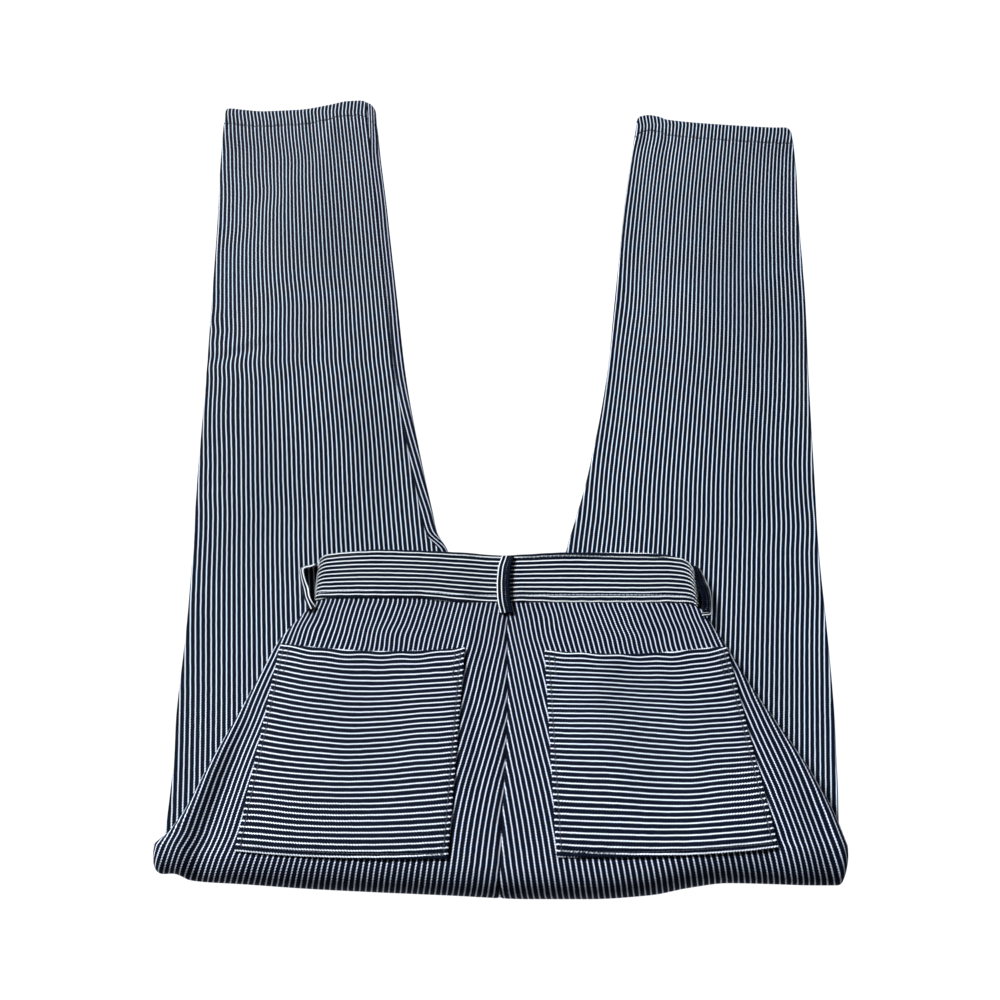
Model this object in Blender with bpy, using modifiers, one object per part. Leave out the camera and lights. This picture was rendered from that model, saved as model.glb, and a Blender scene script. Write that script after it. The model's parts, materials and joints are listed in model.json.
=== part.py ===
"""Striped denim jeans, folded over once and laid on a table.

The legs lie front side up and run away along +Y. The waist and seat are turned back over the
thighs, so the back panels pass under the legs, round the near fold and over the top, and the back
pockets and the back of the waistband face up. Each cut piece is one wall of cloth. The front rise
and its inner layers, which the fold hides, share one rounded solid with layered side edges.
Metres, +Z up, origin under the middle of the garment, on the table.
"""

import math
from collections import namedtuple

import bmesh
import bpy
import numpy as np

# ---------------------------------------------------------------- driving sizes
CLOTH = 0.0012  # one layer of denim
BAND = 0.0024  # the waistband and a turned hem, two layers
STRAP = 0.0016  # a belt loop
GAP = 0.0003  # between neighbouring pieces, at every seam
WAIST_GAP = 0.0005  # at the waistband's curved seam, measured along Y
RISE_GAP = 0.0006  # between the back panels and the folded rise, which is hidden

HEM_DEPTH = 0.026
HEM_EDGE = 0.0056  # thickness of a leg at its sides, at the hem
HEM_LIFT = 0.0003  # the hem's front stands this much higher, clear of the back's thick edge
LEG_EDGE = 0.0036  # and along the rest of the leg
LEG_MIDDLE = 0.0061  # thickness in the middle of a leg
LEG_CROWN = 0.45  # share of a leg's width over which its face rises from each edge
UNDER_FOLD = 0.0050  # thickness of the thighs where the seat lies on them
FRONT_TUCK = 0.0015  # how far the front panels run on into the fold

CROTCH_Y = -0.305
CROTCH_OPENING = 0.016  # length over which the inner edges open out into the centre seams
THIGH_COVERED_Y = -0.120  # from here to the fold the seat covers the thighs
THIGH_FREE_Y = 0.020  # and from here to the hem the leg has its full thickness
HEM_PUFF_Y = (0.330, 0.360)  # where the side edges thicken towards the hem
HEM_SLANT_Y = (0.200, 0.360)  # where the cloth starts to slant with the hem
HEM_LINE_Y = (0.230, 0.345)  # and to follow the waves of its line
FOLD_REACH = 0.016  # half depth of the rolled fold along Y, at the centre
FOLD_REACH_RIGHT = 0.007  # added at the right end, where the roll is opened out
FOLD_OPENS_X = (0.100, 0.220)
SEAT_Y = -0.180  # seam between seat and waistband
WAIST_PROUD = 0.0008  # the waistband stands this far over the seat
WAIST_ENDS_X = (-0.1410, 0.1505)  # between its two ends, where it turns under
FRONT_RISE_BASE = UNDER_FOLD + GAP

# Side edges of the folded front rise: how far in from the back panel's edge each layer lies, as a
# share of the way to the middle, and how far in from the side seam.
RiseLayer = namedtuple("RiseLayer", "share inset")
RISE_LAYERS = [
    RiseLayer(0.00, 0.0000),
    RiseLayer(0.08, -0.0010),
    RiseLayer(0.30, -0.0010),
    RiseLayer(0.36, 0.0012),
    RiseLayer(0.48, 0.0012),
    RiseLayer(0.54, -0.0004),
    RiseLayer(0.86, 0.0004),
]

LOOP_WIDTH = 0.0102
LOOP_BACK_END_Y = -0.189
LOOP_BACK_BOW = 0.0012  # the centre loop stands off the waistband at its middle
LOOP_EDGE_SETBACK = 0.0015  # from the waistband's free edge
POCKET_SAG = 0.005  # how far the mouth sags at its middle
POCKET_MOUTH_PROUD = 0.0007
POCKET_MOUTH_DEPTH = 0.08  # share of the pocket's height over which the mouth stands proud
BUTTON_Y = -0.158
BUTTON_RADIUS = 0.0085
BUTTON_HEIGHT = 0.0034
BUTTON_SHANK_RADIUS = 0.0030
BUTTON_SHANK = 0.0010
BUTTON_ROUND = 0.0008

# Half of the leg's plan outline, from the centre line outwards, at stations from hem to fold.
LegRow = namedtuple("LegRow", "y outer inner")
LEGS = {
    "left": [
        LegRow(0.398, 0.292, 0.132),
        LegRow(0.330, 0.288, 0.123),
        LegRow(0.240, 0.279, 0.111),
        LegRow(0.140, 0.270, 0.097),
        LegRow(0.040, 0.261, 0.083),
        LegRow(-0.060, 0.253, 0.063),
        LegRow(-0.128, 0.246, 0.0425),
        LegRow(-0.200, 0.239, 0.030),
        LegRow(-0.260, 0.236, 0.013),
        LegRow(CROTCH_Y, 0.233, GAP / 2),
        LegRow(-0.375, 0.231, GAP / 2),
    ],
    "right": [
        LegRow(0.377, 0.305, 0.144),
        LegRow(0.324, 0.303, 0.135),
        LegRow(0.240, 0.295, 0.122),
        LegRow(0.140, 0.286, 0.108),
        LegRow(0.040, 0.274, 0.094),
        LegRow(-0.060, 0.263, 0.073),
        LegRow(-0.134, 0.255, 0.0515),
        LegRow(-0.200, 0.249, 0.034),
        LegRow(-0.260, 0.244, 0.014),
        LegRow(CROTCH_Y, 0.240, GAP / 2),
        LegRow(-0.375, 0.233, GAP / 2),
    ],
}
SIDE = {"left": -1.0, "right": 1.0}
UP = (0, 0, 1)
DOWN = (0, 0, -1)

# The hem's plan line: its middle and its slope, as y gained per metre towards +X.
Hem = namedtuple("Hem", "y slope")
HEMS = {"left": Hem(0.398, 0.09), "right": Hem(0.377, -0.14)}

# How far the hem's edge stands out from that line, or falls short of it.
LinePoint = namedtuple("LinePoint", "x y")
HEM_LINES = {
    "left": [
        LinePoint(-0.293, -0.0060),
        LinePoint(-0.289, 0.0010),
        LinePoint(-0.271, -0.0024),
        LinePoint(-0.249, -0.0067),
        LinePoint(-0.212, -0.0077),
        LinePoint(-0.181, -0.0025),
        LinePoint(-0.163, 0.0018),
        LinePoint(-0.150, 0.0018),
        LinePoint(-0.140, -0.0030),
        LinePoint(-0.131, -0.0150),
    ],
    "right": [
        LinePoint(0.142, -0.0150),
        LinePoint(0.148, -0.0075),
        LinePoint(0.158, -0.0040),
        LinePoint(0.167, -0.0050),
        LinePoint(0.176, -0.0088),
        LinePoint(0.200, -0.0097),
        LinePoint(0.240, -0.0085),
        LinePoint(0.285, -0.0055),
        LinePoint(0.300, -0.0035),
        LinePoint(0.306, -0.0120),
    ],
}

# Plan lines across the garment: the fold's near edge, the seam below the waistband, and the
# waistband's free edge, which its ends and the centre loop draw in.
NEAR_LINE = [
    LinePoint(-0.2333, -0.3715),
    LinePoint(-0.2308, -0.3730),
    LinePoint(-0.2247, -0.3752),
    LinePoint(-0.2182, -0.3750),
    LinePoint(-0.2134, -0.3762),
    LinePoint(-0.2059, -0.3792),
    LinePoint(-0.165, -0.3822),
    LinePoint(-0.125, -0.3840),
    LinePoint(-0.086, -0.3858),
    LinePoint(-0.033, -0.3890),
    LinePoint(0.020, -0.3912),
    LinePoint(0.059, -0.3912),
    LinePoint(0.099, -0.3888),
    LinePoint(0.125, -0.3842),
    LinePoint(0.152, -0.3812),
    LinePoint(0.178, -0.3817),
    LinePoint(0.205, -0.3825),
    LinePoint(0.2247, -0.3823),
    LinePoint(0.2350, -0.3805),
]
SEAM_LINE = [
    LinePoint(-0.150, -0.1815),
    LinePoint(-0.1425, -0.1785),
    LinePoint(-0.137, -0.1765),
    LinePoint(-0.130, -0.1760),
    LinePoint(-0.070, -0.1762),
    LinePoint(-0.030, -0.1798),
    LinePoint(0.140, -0.1796),
    LinePoint(0.147, -0.1806),
    LinePoint(0.1515, -0.1835),
    LinePoint(0.158, -0.1865),
]
WAIST_LINE = [
    LinePoint(-0.150, -0.1530),
    LinePoint(-0.1432, -0.1448),
    LinePoint(-0.1412, -0.1409),
    LinePoint(-0.136, -0.1377),
    LinePoint(-0.111, -0.1352),
    LinePoint(-0.099, -0.1340),
    LinePoint(-0.061, -0.1352),
    LinePoint(-0.024, -0.1375),
    LinePoint(0.002, -0.1396),
    LinePoint(0.017, -0.1388),
    LinePoint(0.054, -0.1368),
    LinePoint(0.110, -0.1370),
    LinePoint(0.129, -0.1380),
    LinePoint(0.142, -0.1413),
    LinePoint(0.1487, -0.1444),
    LinePoint(0.1514, -0.1496),
    LinePoint(0.158, -0.1560),
]

# The folded seat: heights over the table at its middle and side, and its half widths.
SeatRow = namedtuple("SeatRow", "y middle side left right")
SEAT = [
    SeatRow(SEAT_Y, 0.0125, 0.0105, 0.146, 0.156),
    SeatRow(-0.210, 0.0150, 0.0118, 0.167, 0.170),
    SeatRow(-0.240, 0.0180, 0.0135, 0.178, 0.182),
    SeatRow(-0.280, 0.0215, 0.0158, 0.193, 0.201),
    SeatRow(-0.320, 0.0250, 0.0185, 0.207, 0.219),
    SeatRow(-0.350, 0.0275, 0.0205, 0.2165, 0.229),
    SeatRow(-0.376, 0.0290, 0.0220, 0.2350, 0.234),
]
SIDE_ROUNDING_WAIST = 0.0030  # how far the seat's side edges turn down to the side seam
SIDE_ROUNDING_FOLD = 0.0070
CORNER_RECESS = {"left": 0.0035, "right": 0.0050}  # how far the fold's near corners draw in

# The largest folds of the seat, each a straight ridge (height above 0) or trough (below 0).
Fold = namedtuple("Fold", "x0 y0 x1 y1 half_width height")
FOLD_FADE = (-0.020, 0.030)  # a fold's height comes in over this length at each end
SEAT_FOLDS = [
    Fold(-0.206, -0.400, -0.178, -0.262, 0.010, -0.0042),  # trough along the left side seam
    Fold(-0.227, -0.400, -0.192, -0.280, 0.009, 0.0024),  # ridge on that side seam
    Fold(-0.030, -0.186, -0.022, -0.250, 0.006, 0.0016),  # short ridge left of the centre seam
    Fold(0.100, -0.225, 0.112, -0.360, 0.022, -0.0014),  # hollow in the right pocket
    Fold(-0.095, -0.225, -0.080, -0.340, 0.026, -0.0012),  # hollow in the left pocket
    Fold(0.206, -0.395, 0.188, -0.300, 0.014, 0.0016),  # ridge by the right side seam
]

# Back pockets, corners in plan.
Pocket = namedtuple("Pocket", "top_in top_out bottom_out bottom_in")
POCKETS = {
    "left": Pocket((-0.026, -0.218), (-0.164, -0.213), (-0.175, -0.3632), (-0.034, -0.3685)),
    "right": Pocket((0.033, -0.220), (0.169, -0.215), (0.184, -0.3615), (0.037, -0.3675)),
}

# Side belt loops, from the seat to the waistband's edge: the strap's edge nearer the middle, and its
# outer edge, which hangs lower.
LoopRow = namedtuple("LoopRow", "in_x in_y in_z out_x out_y out_z")
SIDE_LOOPS = {
    "left": [
        LoopRow(-0.1400, -0.1835, 0.0130, -0.1475, -0.1862, 0.0130),
        LoopRow(-0.1438, -0.1792, 0.0145, -0.1488, -0.1806, 0.0112),
        LoopRow(-0.1463, -0.1745, 0.0148, -0.1520, -0.1732, 0.0070),
        LoopRow(-0.1474, -0.1691, 0.0145, -0.1541, -0.1672, 0.0064),
        LoopRow(-0.1498, -0.1637, 0.0142, -0.1558, -0.1612, 0.0064),
        LoopRow(-0.1520, -0.1583, 0.0145, -0.1572, -0.1552, 0.0064),
        LoopRow(-0.1532, -0.1530, 0.0149, -0.1580, -0.1492, 0.0064),
        LoopRow(-0.1518, -0.1507, 0.0149, -0.1545, -0.1458, 0.0064),
        LoopRow(-0.1482, -0.1500, 0.0147, -0.1490, -0.1444, 0.0064),
        LoopRow(-0.1452, -0.1484, 0.0145, -0.1450, -0.1432, 0.0064),
        LoopRow(-0.1446, -0.1479, 0.0144, -0.1444, -0.1427, 0.0064),
    ],
    "right": [
        LoopRow(0.1540, -0.1888, 0.0136, 0.1618, -0.1868, 0.0106),
        LoopRow(0.1544, -0.1838, 0.0138, 0.1630, -0.1806, 0.0102),
        LoopRow(0.1547, -0.1791, 0.0145, 0.1634, -0.1765, 0.0099),
        LoopRow(0.1546, -0.1745, 0.0145, 0.1634, -0.1721, 0.0097),
        LoopRow(0.1535, -0.1701, 0.0144, 0.1632, -0.1683, 0.0097),
        LoopRow(0.1522, -0.1664, 0.0150, 0.1624, -0.1649, 0.0102),
        LoopRow(0.1513, -0.1628, 0.0149, 0.1611, -0.1614, 0.0100),
        LoopRow(0.1510, -0.1574, 0.0153, 0.1593, -0.1556, 0.0104),
        LoopRow(0.1513, -0.1524, 0.0150, 0.1565, -0.1496, 0.0102),
        LoopRow(0.1507, -0.1496, 0.0146, 0.1550, -0.1468, 0.0100),
    ],
}
# The centre loop's left edge in plan.
BACK_LOOP = [
    LinePoint(0.0000, LOOP_BACK_END_Y),
    LinePoint(-0.0022, -0.178),
    LinePoint(-0.0027, -0.167),
    LinePoint(-0.0018, -0.153),
    LinePoint(0.0013, -0.141),
]

# Middle of the laid-out garment in these sizes, which the origin is moved to.
CENTRE_X = (LEGS["right"][0].outer - LEGS["left"][0].outer) / 2
LEFT_HEM_MIDDLE = -(LEGS["left"][0].outer + LEGS["left"][0].inner) / 2
FAR_Y = max(
    HEMS["left"].y + HEMS["left"].slope * (point.x - LEFT_HEM_MIDDLE) + point.y
    for point in HEM_LINES["left"]
)
CENTRE_Y = (min(point.y for point in NEAR_LINE) + FAR_Y) / 2

# Stations: along a leg in metres, round the fold and up the seat as shares.
LEG_LEVELS = [0.330, 0.270, 0.210, 0.150, 0.090, 0.030, -0.030, -0.090, -0.145, -0.200, -0.250, -0.285]
CROTCH_LEVELS = [-0.296, CROTCH_Y, -0.320, -0.345]
FOLD_STEPS = 8
SEAT_STEPS = 11
INNER_BEND = [1.0, 2 / 3, 1 / 3]
FLAT_SHARES = [0, 0.1, 0.22, 0.34, 0.46, 0.58, 0.68, 0.75, 0.81, 0.86, 0.91, 0.96, 0.98, 1]
OUTER_BEND = [1 / 3, 2 / 3, 1.0]
POCKET_SHARES = [0, 0.12, 0.26, 0.4, 0.54, 0.67, 0.78, 0.86, 0.93, 1]
WAIST_END_TURNS = [45, 90, 135]

DENIM = (0.035, 0.055, 0.105, 1)
DENIM_SHADED = (0.11, 0.14, 0.19, 1)
BRASS = (0.55, 0.42, 0.22, 1)


# ---------------------------------------------------------------- shape functions
def smooth_step(low, high, value):
    share = min(1.0, max(0.0, (value - low) / (high - low)))
    return share * share * (3 - 2 * share)


def read(table, column, at, key="y"):
    """A table's column at this value of its key, on a smooth curve through its rows."""
    rows = sorted(table, key=lambda row: getattr(row, key))
    places = [getattr(row, key) for row in rows]
    values = [getattr(row, column) for row in rows]
    at = min(max(at, places[0]), places[-1])
    i = min(max(int(np.searchsorted(places, at)) - 1, 0), len(places) - 2)

    def slope(k):
        """The harmonic mean of the slopes on both sides, so that no stretch overshoots."""
        steps = [
            (values[j + 1] - values[j]) / (places[j + 1] - places[j])
            for j in (k - 1, k)
            if 0 <= j < len(places) - 1
        ]
        before, after = steps[0], steps[-1]
        return 2 * before * after / (before + after) if before * after > 0 else 0.0

    width = places[i + 1] - places[i]
    t = (at - places[i]) / width
    start = values[i] * (1 + 2 * t) + slope(i) * width * t
    end = values[i + 1] * (3 - 2 * t) - slope(i + 1) * width * (1 - t)
    return start * (1 - t) ** 2 + end * t * t


def folds_at(x, y):
    """Height that the large folds add at a point of the seat."""
    total = 0.0
    for fold in SEAT_FOLDS:
        ax, ay = fold.x1 - fold.x0, fold.y1 - fold.y0
        length = math.hypot(ax, ay)
        along = ((x - fold.x0) * ax + (y - fold.y0) * ay) / length
        away = ((x - fold.x0) * ay - (y - fold.y0) * ax) / length
        fade = smooth_step(*FOLD_FADE, along) * smooth_step(*FOLD_FADE, length - along)
        total += fold.height * fade * math.exp(-((away / fold.half_width) ** 2))
    return total


def seat_half_width(x, y):
    return read(SEAT, "left" if x < 0 else "right", y)


def seat_height(x, y):
    """Height of the seat's upper face, before its side edge turns down."""
    middle, side = read(SEAT, "middle", y), read(SEAT, "side", y)
    out = min(1.0, abs(x) / seat_half_width(x, y))
    return side + (middle - side) * (1 - out**3) + folds_at(x, y)


def fold_reach(x):
    return FOLD_REACH + FOLD_REACH_RIGHT * smooth_step(*FOLD_OPENS_X, x)


def fold_axis_y(x):
    """Where the lower layer leaves the table and the upper one starts, at this x."""
    return read(NEAR_LINE, "y", x, "x") + fold_reach(x)


def leg_edge(y):
    return LEG_EDGE + (HEM_EDGE - LEG_EDGE) * smooth_step(*HEM_PUFF_Y, y)


def leg_middle(y):
    return UNDER_FOLD + (LEG_MIDDLE - UNDER_FOLD) * smooth_step(THIGH_COVERED_Y, THIGH_FREE_Y, y)


def opened(y):
    """0 along the leg, 1 past the crotch, where the inner edge is the centre seam."""
    return 1 - smooth_step(CROTCH_Y, CROTCH_Y + CROTCH_OPENING, y)


def leg_height(leg, x, y):
    """Height of the front panel's upper face before its edges turn down."""
    outer, inner = read(LEGS[leg], "outer", y), read(LEGS[leg], "inner", y)
    share = min(1.0, max(0.0, (abs(x) - inner) / (outer - inner)))
    edge, middle = leg_edge(y), leg_middle(y)
    inner_edge = edge + (middle - edge) * opened(y)
    from_inner = inner_edge + (middle - inner_edge) * smooth_step(0, LEG_CROWN, share)
    from_outer = edge + (middle - edge) * smooth_step(0, LEG_CROWN, 1 - share)
    return min(from_inner, from_outer)


def bend(length, angle, along):
    """Run and drop, this far along a strip that is bent evenly through angle over its length."""
    if angle < 1e-4:
        return along, 0.0
    radius = length / angle
    return radius * math.sin(along / radius), radius * (1 - math.cos(along / radius))


def across(inner, outer, inner_radius, inner_angle, outer_radius, trim=(0.0, 0.0)):
    """(distance from the centre line, drop) for each column of a panel, inner edge first.

    Both edges bend down. trim shortens the bent strips, inner and outer, at the seam.
    """
    inner_length = inner_radius * math.pi / 2
    outer_length = outer_radius * math.pi / 2
    start = inner + bend(inner_length, inner_angle, inner_length)[0]
    end = outer - outer_radius
    columns = []
    for share in INNER_BEND:
        run, drop = bend(inner_length, inner_angle, (inner_length - trim[0]) * share)
        columns.append((start - run, drop))
    columns += [(start + (end - start) * share, 0.0) for share in FLAT_SHARES]
    for share in OUTER_BEND:
        run, drop = bend(outer_length, math.pi / 2, (outer_length - trim[1]) * share)
        columns.append((end + run, drop))
    return columns


def floor_y(leg, x, level):
    """The leg's station at level, turned to the hem's slant and line and, near the fold, to its bow."""
    hem = HEMS[leg]
    hem_middle = sum(SIDE[leg] * value for value in LEGS[leg][0][1:]) / 2
    slant = hem.slope * (x - hem_middle) * smooth_step(*HEM_SLANT_Y, level)
    line = read(HEM_LINES[leg], "y", x, "x") * smooth_step(*HEM_LINE_Y, level)
    bow = (fold_axis_y(x) - fold_axis_y(0.0)) * smooth_step(CROTCH_Y, fold_axis_y(0.0), level)
    return level + slant + line + bow


def leg_levels(leg):
    hem_y = HEMS[leg].y
    hem_rows = [hem_y, hem_y - HEM_DEPTH, hem_y - HEM_DEPTH - 0.002]
    return hem_rows + LEG_LEVELS + CROTCH_LEVELS + [fold_axis_y(0.0)]


def leg_columns(leg, level, trim=0.0):
    """Columns of a leg panel. trim stops a front panel's edges short of the back panel's."""
    inner, outer = read(LEGS[leg], "inner", level), read(LEGS[leg], "outer", level)
    closed = 1 - opened(level)
    radius = leg_edge(level) / 2
    return across(inner, outer, radius, math.pi / 2 * closed, radius, (trim * closed, trim))


def side_rounding(y):
    share = smooth_step(SEAT_Y, SEAT[-1].y, y)
    return SIDE_ROUNDING_WAIST + (SIDE_ROUNDING_FOLD - SIDE_ROUNDING_WAIST) * share


def seat_columns(leg, y, share_up, recess=0.0):
    """Columns of a back panel on the fold (share_up 0 to 1) and on the seat (1)."""
    floor_outer = read(LEGS[leg], "outer", y)
    seat_outer = read(SEAT, leg, y)
    outer = floor_outer + (seat_outer - floor_outer) * share_up - recess
    radius = LEG_EDGE / 2 + (side_rounding(y) - LEG_EDGE / 2) * share_up
    return across(GAP / 2, outer, LEG_EDGE / 2, 0.0, radius)


def seam_y(x):
    """Where the seat ends, at the waistband's lower edge."""
    return read(SEAM_LINE, "y", x, "x")


def back_grid(leg):
    """Outer face of a back panel: under the leg, round the fold, up the seat."""
    side = SIDE[leg]
    rows = []
    for level in leg_levels(leg):
        row = []
        for distance, drop in leg_columns(leg, level):
            x = side * distance
            row.append((x, floor_y(leg, x, level), drop))
        rows.append(row)
    fold_y = fold_axis_y(0.0)
    for step in range(1, FOLD_STEPS + 1):
        turn = math.pi * step / FOLD_STEPS
        share_up = smooth_step(0, math.pi, turn)
        recess = CORNER_RECESS[leg] * math.sin(turn) ** 2
        row = []
        for distance, drop in seat_columns(leg, fold_y, share_up, recess):
            x = side * distance
            axis_y = fold_axis_y(x)
            half = seat_height(x, axis_y) / 2
            y = axis_y - (fold_reach(x) - drop) * math.sin(turn)
            row.append((x, y, half - (half - drop) * math.cos(turn)))
        rows.append(row)
    for step in range(1, SEAT_STEPS + 1):
        share = step / SEAT_STEPS
        level = fold_y + (SEAT_Y - fold_y) * share
        row = []
        for distance, drop in seat_columns(leg, level, 1.0):
            x = side * distance
            axis_y = fold_axis_y(x)
            y = axis_y + (seam_y(x) - axis_y) * share
            row.append((x, y, seat_height(x, y) - drop))
        rows.append(row)
    return np.array(rows)


def front_grid(leg):
    """Outer face of a front panel, from the hem to inside the fold."""
    side = SIDE[leg]
    rows = []
    for level in leg_levels(leg):
        row = []
        for distance, drop in leg_columns(leg, level, GAP):
            x = side * distance
            z = leg_height(leg, x, level) + HEM_LIFT * smooth_step(*HEM_PUFF_Y, level) - drop
            row.append((x, floor_y(leg, x, level), z))
        rows.append(row)
    rows = np.array(rows)
    rows[-1, :, 1] += FRONT_TUCK
    return rows


def normals(grid, outward, seam=None):
    """Unit normals of a grid of points, on the side where outward points at its middle.

    seam gives, row by row, how far the first column's normal is turned into the centre seam's
    plane, so that the two panels' edges stay flat and parallel there.
    """
    found = np.cross(np.gradient(grid, axis=1), np.gradient(grid, axis=0))
    found /= np.linalg.norm(found, axis=2, keepdims=True)
    middle = found[len(grid) // 4, grid.shape[1] // 2]
    if np.dot(middle, outward) < 0:
        found = -found
    for end, beside in ((0, 1), (-1, -2)):
        lean = np.sum(found[:, end] * found[:, beside], axis=1, keepdims=True)
        found[:, end] = 2 * lean * found[:, end] - found[:, beside]  # keep on turning at the edge
    if seam is not None:
        found[:, 0, 0] *= 1 - np.array(seam)
        found[:, 0] /= np.linalg.norm(found[:, 0], axis=1, keepdims=True)
    return found


# ---------------------------------------------------------------- building objects
def material(name, colour, roughness=0.85, metallic=0.0):
    made = bpy.data.materials.new(name)
    made.use_nodes = True
    shader = made.node_tree.nodes["Principled BSDF"]
    shader.inputs["Base Color"].default_value = colour
    shader.inputs["Roughness"].default_value = roughness
    shader.inputs["Metallic"].default_value = metallic
    return made


def add_object(name, mesh, finish, collection):
    mesh.materials.append(finish)
    made = bpy.data.objects.new(name, mesh)
    made.location = (-CENTRE_X, -CENTRE_Y, 0)
    collection.objects.link(made)
    return made


def cloth_wall(name, outer, thickness, finish, collection, outward, seam=None, around=False):
    """A wall of cloth below an outer face, a grid of points; thickness is one value or one a row."""
    layers = np.broadcast_to(np.reshape(thickness, (-1, 1, 1)), (len(outer), 1, 1))
    if around:
        wrapped = np.concatenate([outer[-1:], outer, outer[:1]])
        faces_out = normals(wrapped, outward)[1:-1]
    else:
        faces_out = normals(outer, outward, seam)
    inner = outer - faces_out * layers
    rings = [np.concatenate([top, under[::-1]]) for top, under in zip(outer, inner)]
    return add_object(name, strip_mesh(name, rings, around), finish, collection)


def strip_mesh(name, rings, around=False):
    """A closed mesh through flat rings, each an outer row and then its inner row backwards."""
    mesh = bpy.data.meshes.new(name)
    shell = bmesh.new()
    points = [[shell.verts.new(point) for point in ring] for ring in rings]
    pairs = list(zip(points, points[1:]))
    if around:
        pairs.append((points[-1], points[0]))
    for one, two in pairs:
        for i in range(len(one)):
            j = (i + 1) % len(one)
            shell.faces.new((one[i], one[j], two[j], two[i]))
    if not around:
        for ring in (points[0], points[-1]):
            for i in range(len(ring) // 2 - 1):
                shell.faces.new((ring[i], ring[i + 1], ring[-i - 2], ring[-i - 1]))
    bmesh.ops.recalc_face_normals(shell, faces=shell.faces)
    shell.to_mesh(mesh)
    shell.free()
    return mesh


def back_seam(leg, grid):
    """How far each row of a back panel is part of the centre seam."""
    seam = [opened(level) for level in leg_levels(leg)]
    return seam + [1.0] * (len(grid) - len(seam))


def build_leg_panels(denim, collection):
    """Front and back panels; a hem is two layers, the rest one."""
    for leg in SIDE:
        back, front = back_grid(leg), front_grid(leg)
        seam = back_seam(leg, back)
        layers = [BAND, BAND] + [CLOTH] * (len(back) - 2)
        cloth_wall(f"back_{leg}", back, layers, denim, collection, DOWN, seam)
        cloth_wall(
            f"front_{leg}", front, layers[: len(front)], denim, collection, UP, seam[: len(front)]
        )


def rise_sections():
    """Upper and lower curves of the folded front rise, from its nose to the waist, by column."""
    nose_row = len(leg_levels("left")) - 1 + FOLD_STEPS // 2
    halves = []
    for leg in SIDE:
        outer = back_grid(leg)
        halves.append(outer - normals(outer, DOWN, back_seam(leg, outer)) * (CLOTH + RISE_GAP))
    whole = np.concatenate([halves[0][:, ::-1], halves[1]], axis=1)
    quarter = FOLD_STEPS // 2 + 1
    upper = whole[nose_row:]
    lower = upper.copy()
    lower[:quarter] = whole[nose_row - quarter + 1 : nose_row + 1][::-1]
    lower[quarter:, :, 2] = FRONT_RISE_BASE
    lower[:, :, 2] = np.maximum(lower[:, :, 2], FRONT_RISE_BASE)
    return upper, lower


def build_front_rise(finish, collection):
    """The hidden front rise and inner layers: one rounded solid with layered side edges."""
    upper, lower = rise_sections()
    core = (upper + lower) / 2
    core[:, :, 1] = np.maximum(core[:, :, 1], upper[FOLD_STEPS // 2, :, 1])
    sections = [section_ring(upper[:, i], lower[:, i]) for i in range(upper.shape[1])]
    cores = [section_ring(core[:, i], core[:, i]) for i in (0, -1)]
    left = [layer_ring(sections[0], cores[0], row.share, row.inset) for row in RISE_LAYERS]
    right = [layer_ring(sections[-1], cores[1], row.share, -row.inset) for row in RISE_LAYERS]
    mesh = section_mesh("front_rise", left[::-1] + sections + right)
    add_object("front_rise", mesh, finish, collection)


def section_mesh(name, sections):
    """A closed mesh through sections that each run out and back from a shared first point."""
    mesh = bpy.data.meshes.new(name)
    solid = bmesh.new()
    rings = [[solid.verts.new(point) for point in section] for section in sections]
    for one, two in zip(rings, rings[1:]):
        for i in range(len(one)):
            j = (i + 1) % len(one)
            solid.faces.new((one[i], one[j], two[j], two[i]))
    for ring in (rings[0], rings[-1]):
        solid.faces.new((ring[0], ring[1], ring[-1]))
        for i in range(1, len(ring) // 2):
            solid.faces.new((ring[i], ring[i + 1], ring[-i - 1], ring[-i]))
    bmesh.ops.recalc_face_normals(solid, faces=solid.faces)
    solid.to_mesh(mesh)
    solid.free()
    return mesh


def section_ring(upper, lower):
    """One closed section: along the upper curve from nose to waist, back along the lower."""
    return np.concatenate([upper, lower[:0:-1]])


def layer_ring(section, core, share, inset):
    """A side section drawn in towards its core by share, clear of the back panel's edge."""
    away = section - core
    reach = np.hypot(away[:, 1], away[:, 2])
    keep = (1 - 1.5 * GAP / reach) * (1 - share)
    ring = core + away * keep[:, None]
    ring[:, 0] = section[:, 0] + inset
    return ring


def waist_height(x, y):
    return seat_height(x, min(y, SEAT_Y)) + WAIST_PROUD


def waist_edge_y(x):
    """Free edge of the waistband."""
    return read(WAIST_LINE, "y", x, "x")


def waist_columns():
    """Places across the waistband: those of the back panels, so that both edges of the seam agree."""
    places = [SIDE[leg] * distance for leg in SIDE for distance, _ in seat_columns(leg, SEAT_Y, 1.0)]
    return sorted(x for x in places if WAIST_ENDS_X[0] < x < WAIST_ENDS_X[1])


def waistband_grid():
    """Outer face of the flattened waistband: over the back, round the right end, under, and back."""
    columns = waist_columns()
    over = [(x, waist_height(x, SEAT_Y)) for x in columns]
    ends = {}
    for side in (-1, 1):
        x, top = over[0] if side < 0 else over[-1]
        radius = (top - FRONT_RISE_BASE) / 2
        turns = [math.radians(angle) for angle in WAIST_END_TURNS]
        ends[side] = [
            (x + side * radius * math.sin(turn), top - radius * (1 - math.cos(turn))) for turn in turns
        ]
    under = [(x, FRONT_RISE_BASE) for x in columns[::-1]]
    grid = []
    for x, z in over + ends[1] + under + ends[-1][::-1]:
        beside = min(max(x, columns[0]), columns[-1])
        low, high = seam_y(beside) + WAIST_GAP, waist_edge_y(x)
        grid.append([(x, low + (high - low) * share, z) for share in (0.0, 0.5, 1.0)])
    return np.array(grid)


def build_waistband(denim, collection):
    cloth_wall("waistband", waistband_grid(), BAND, denim, collection, UP, around=True)


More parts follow.
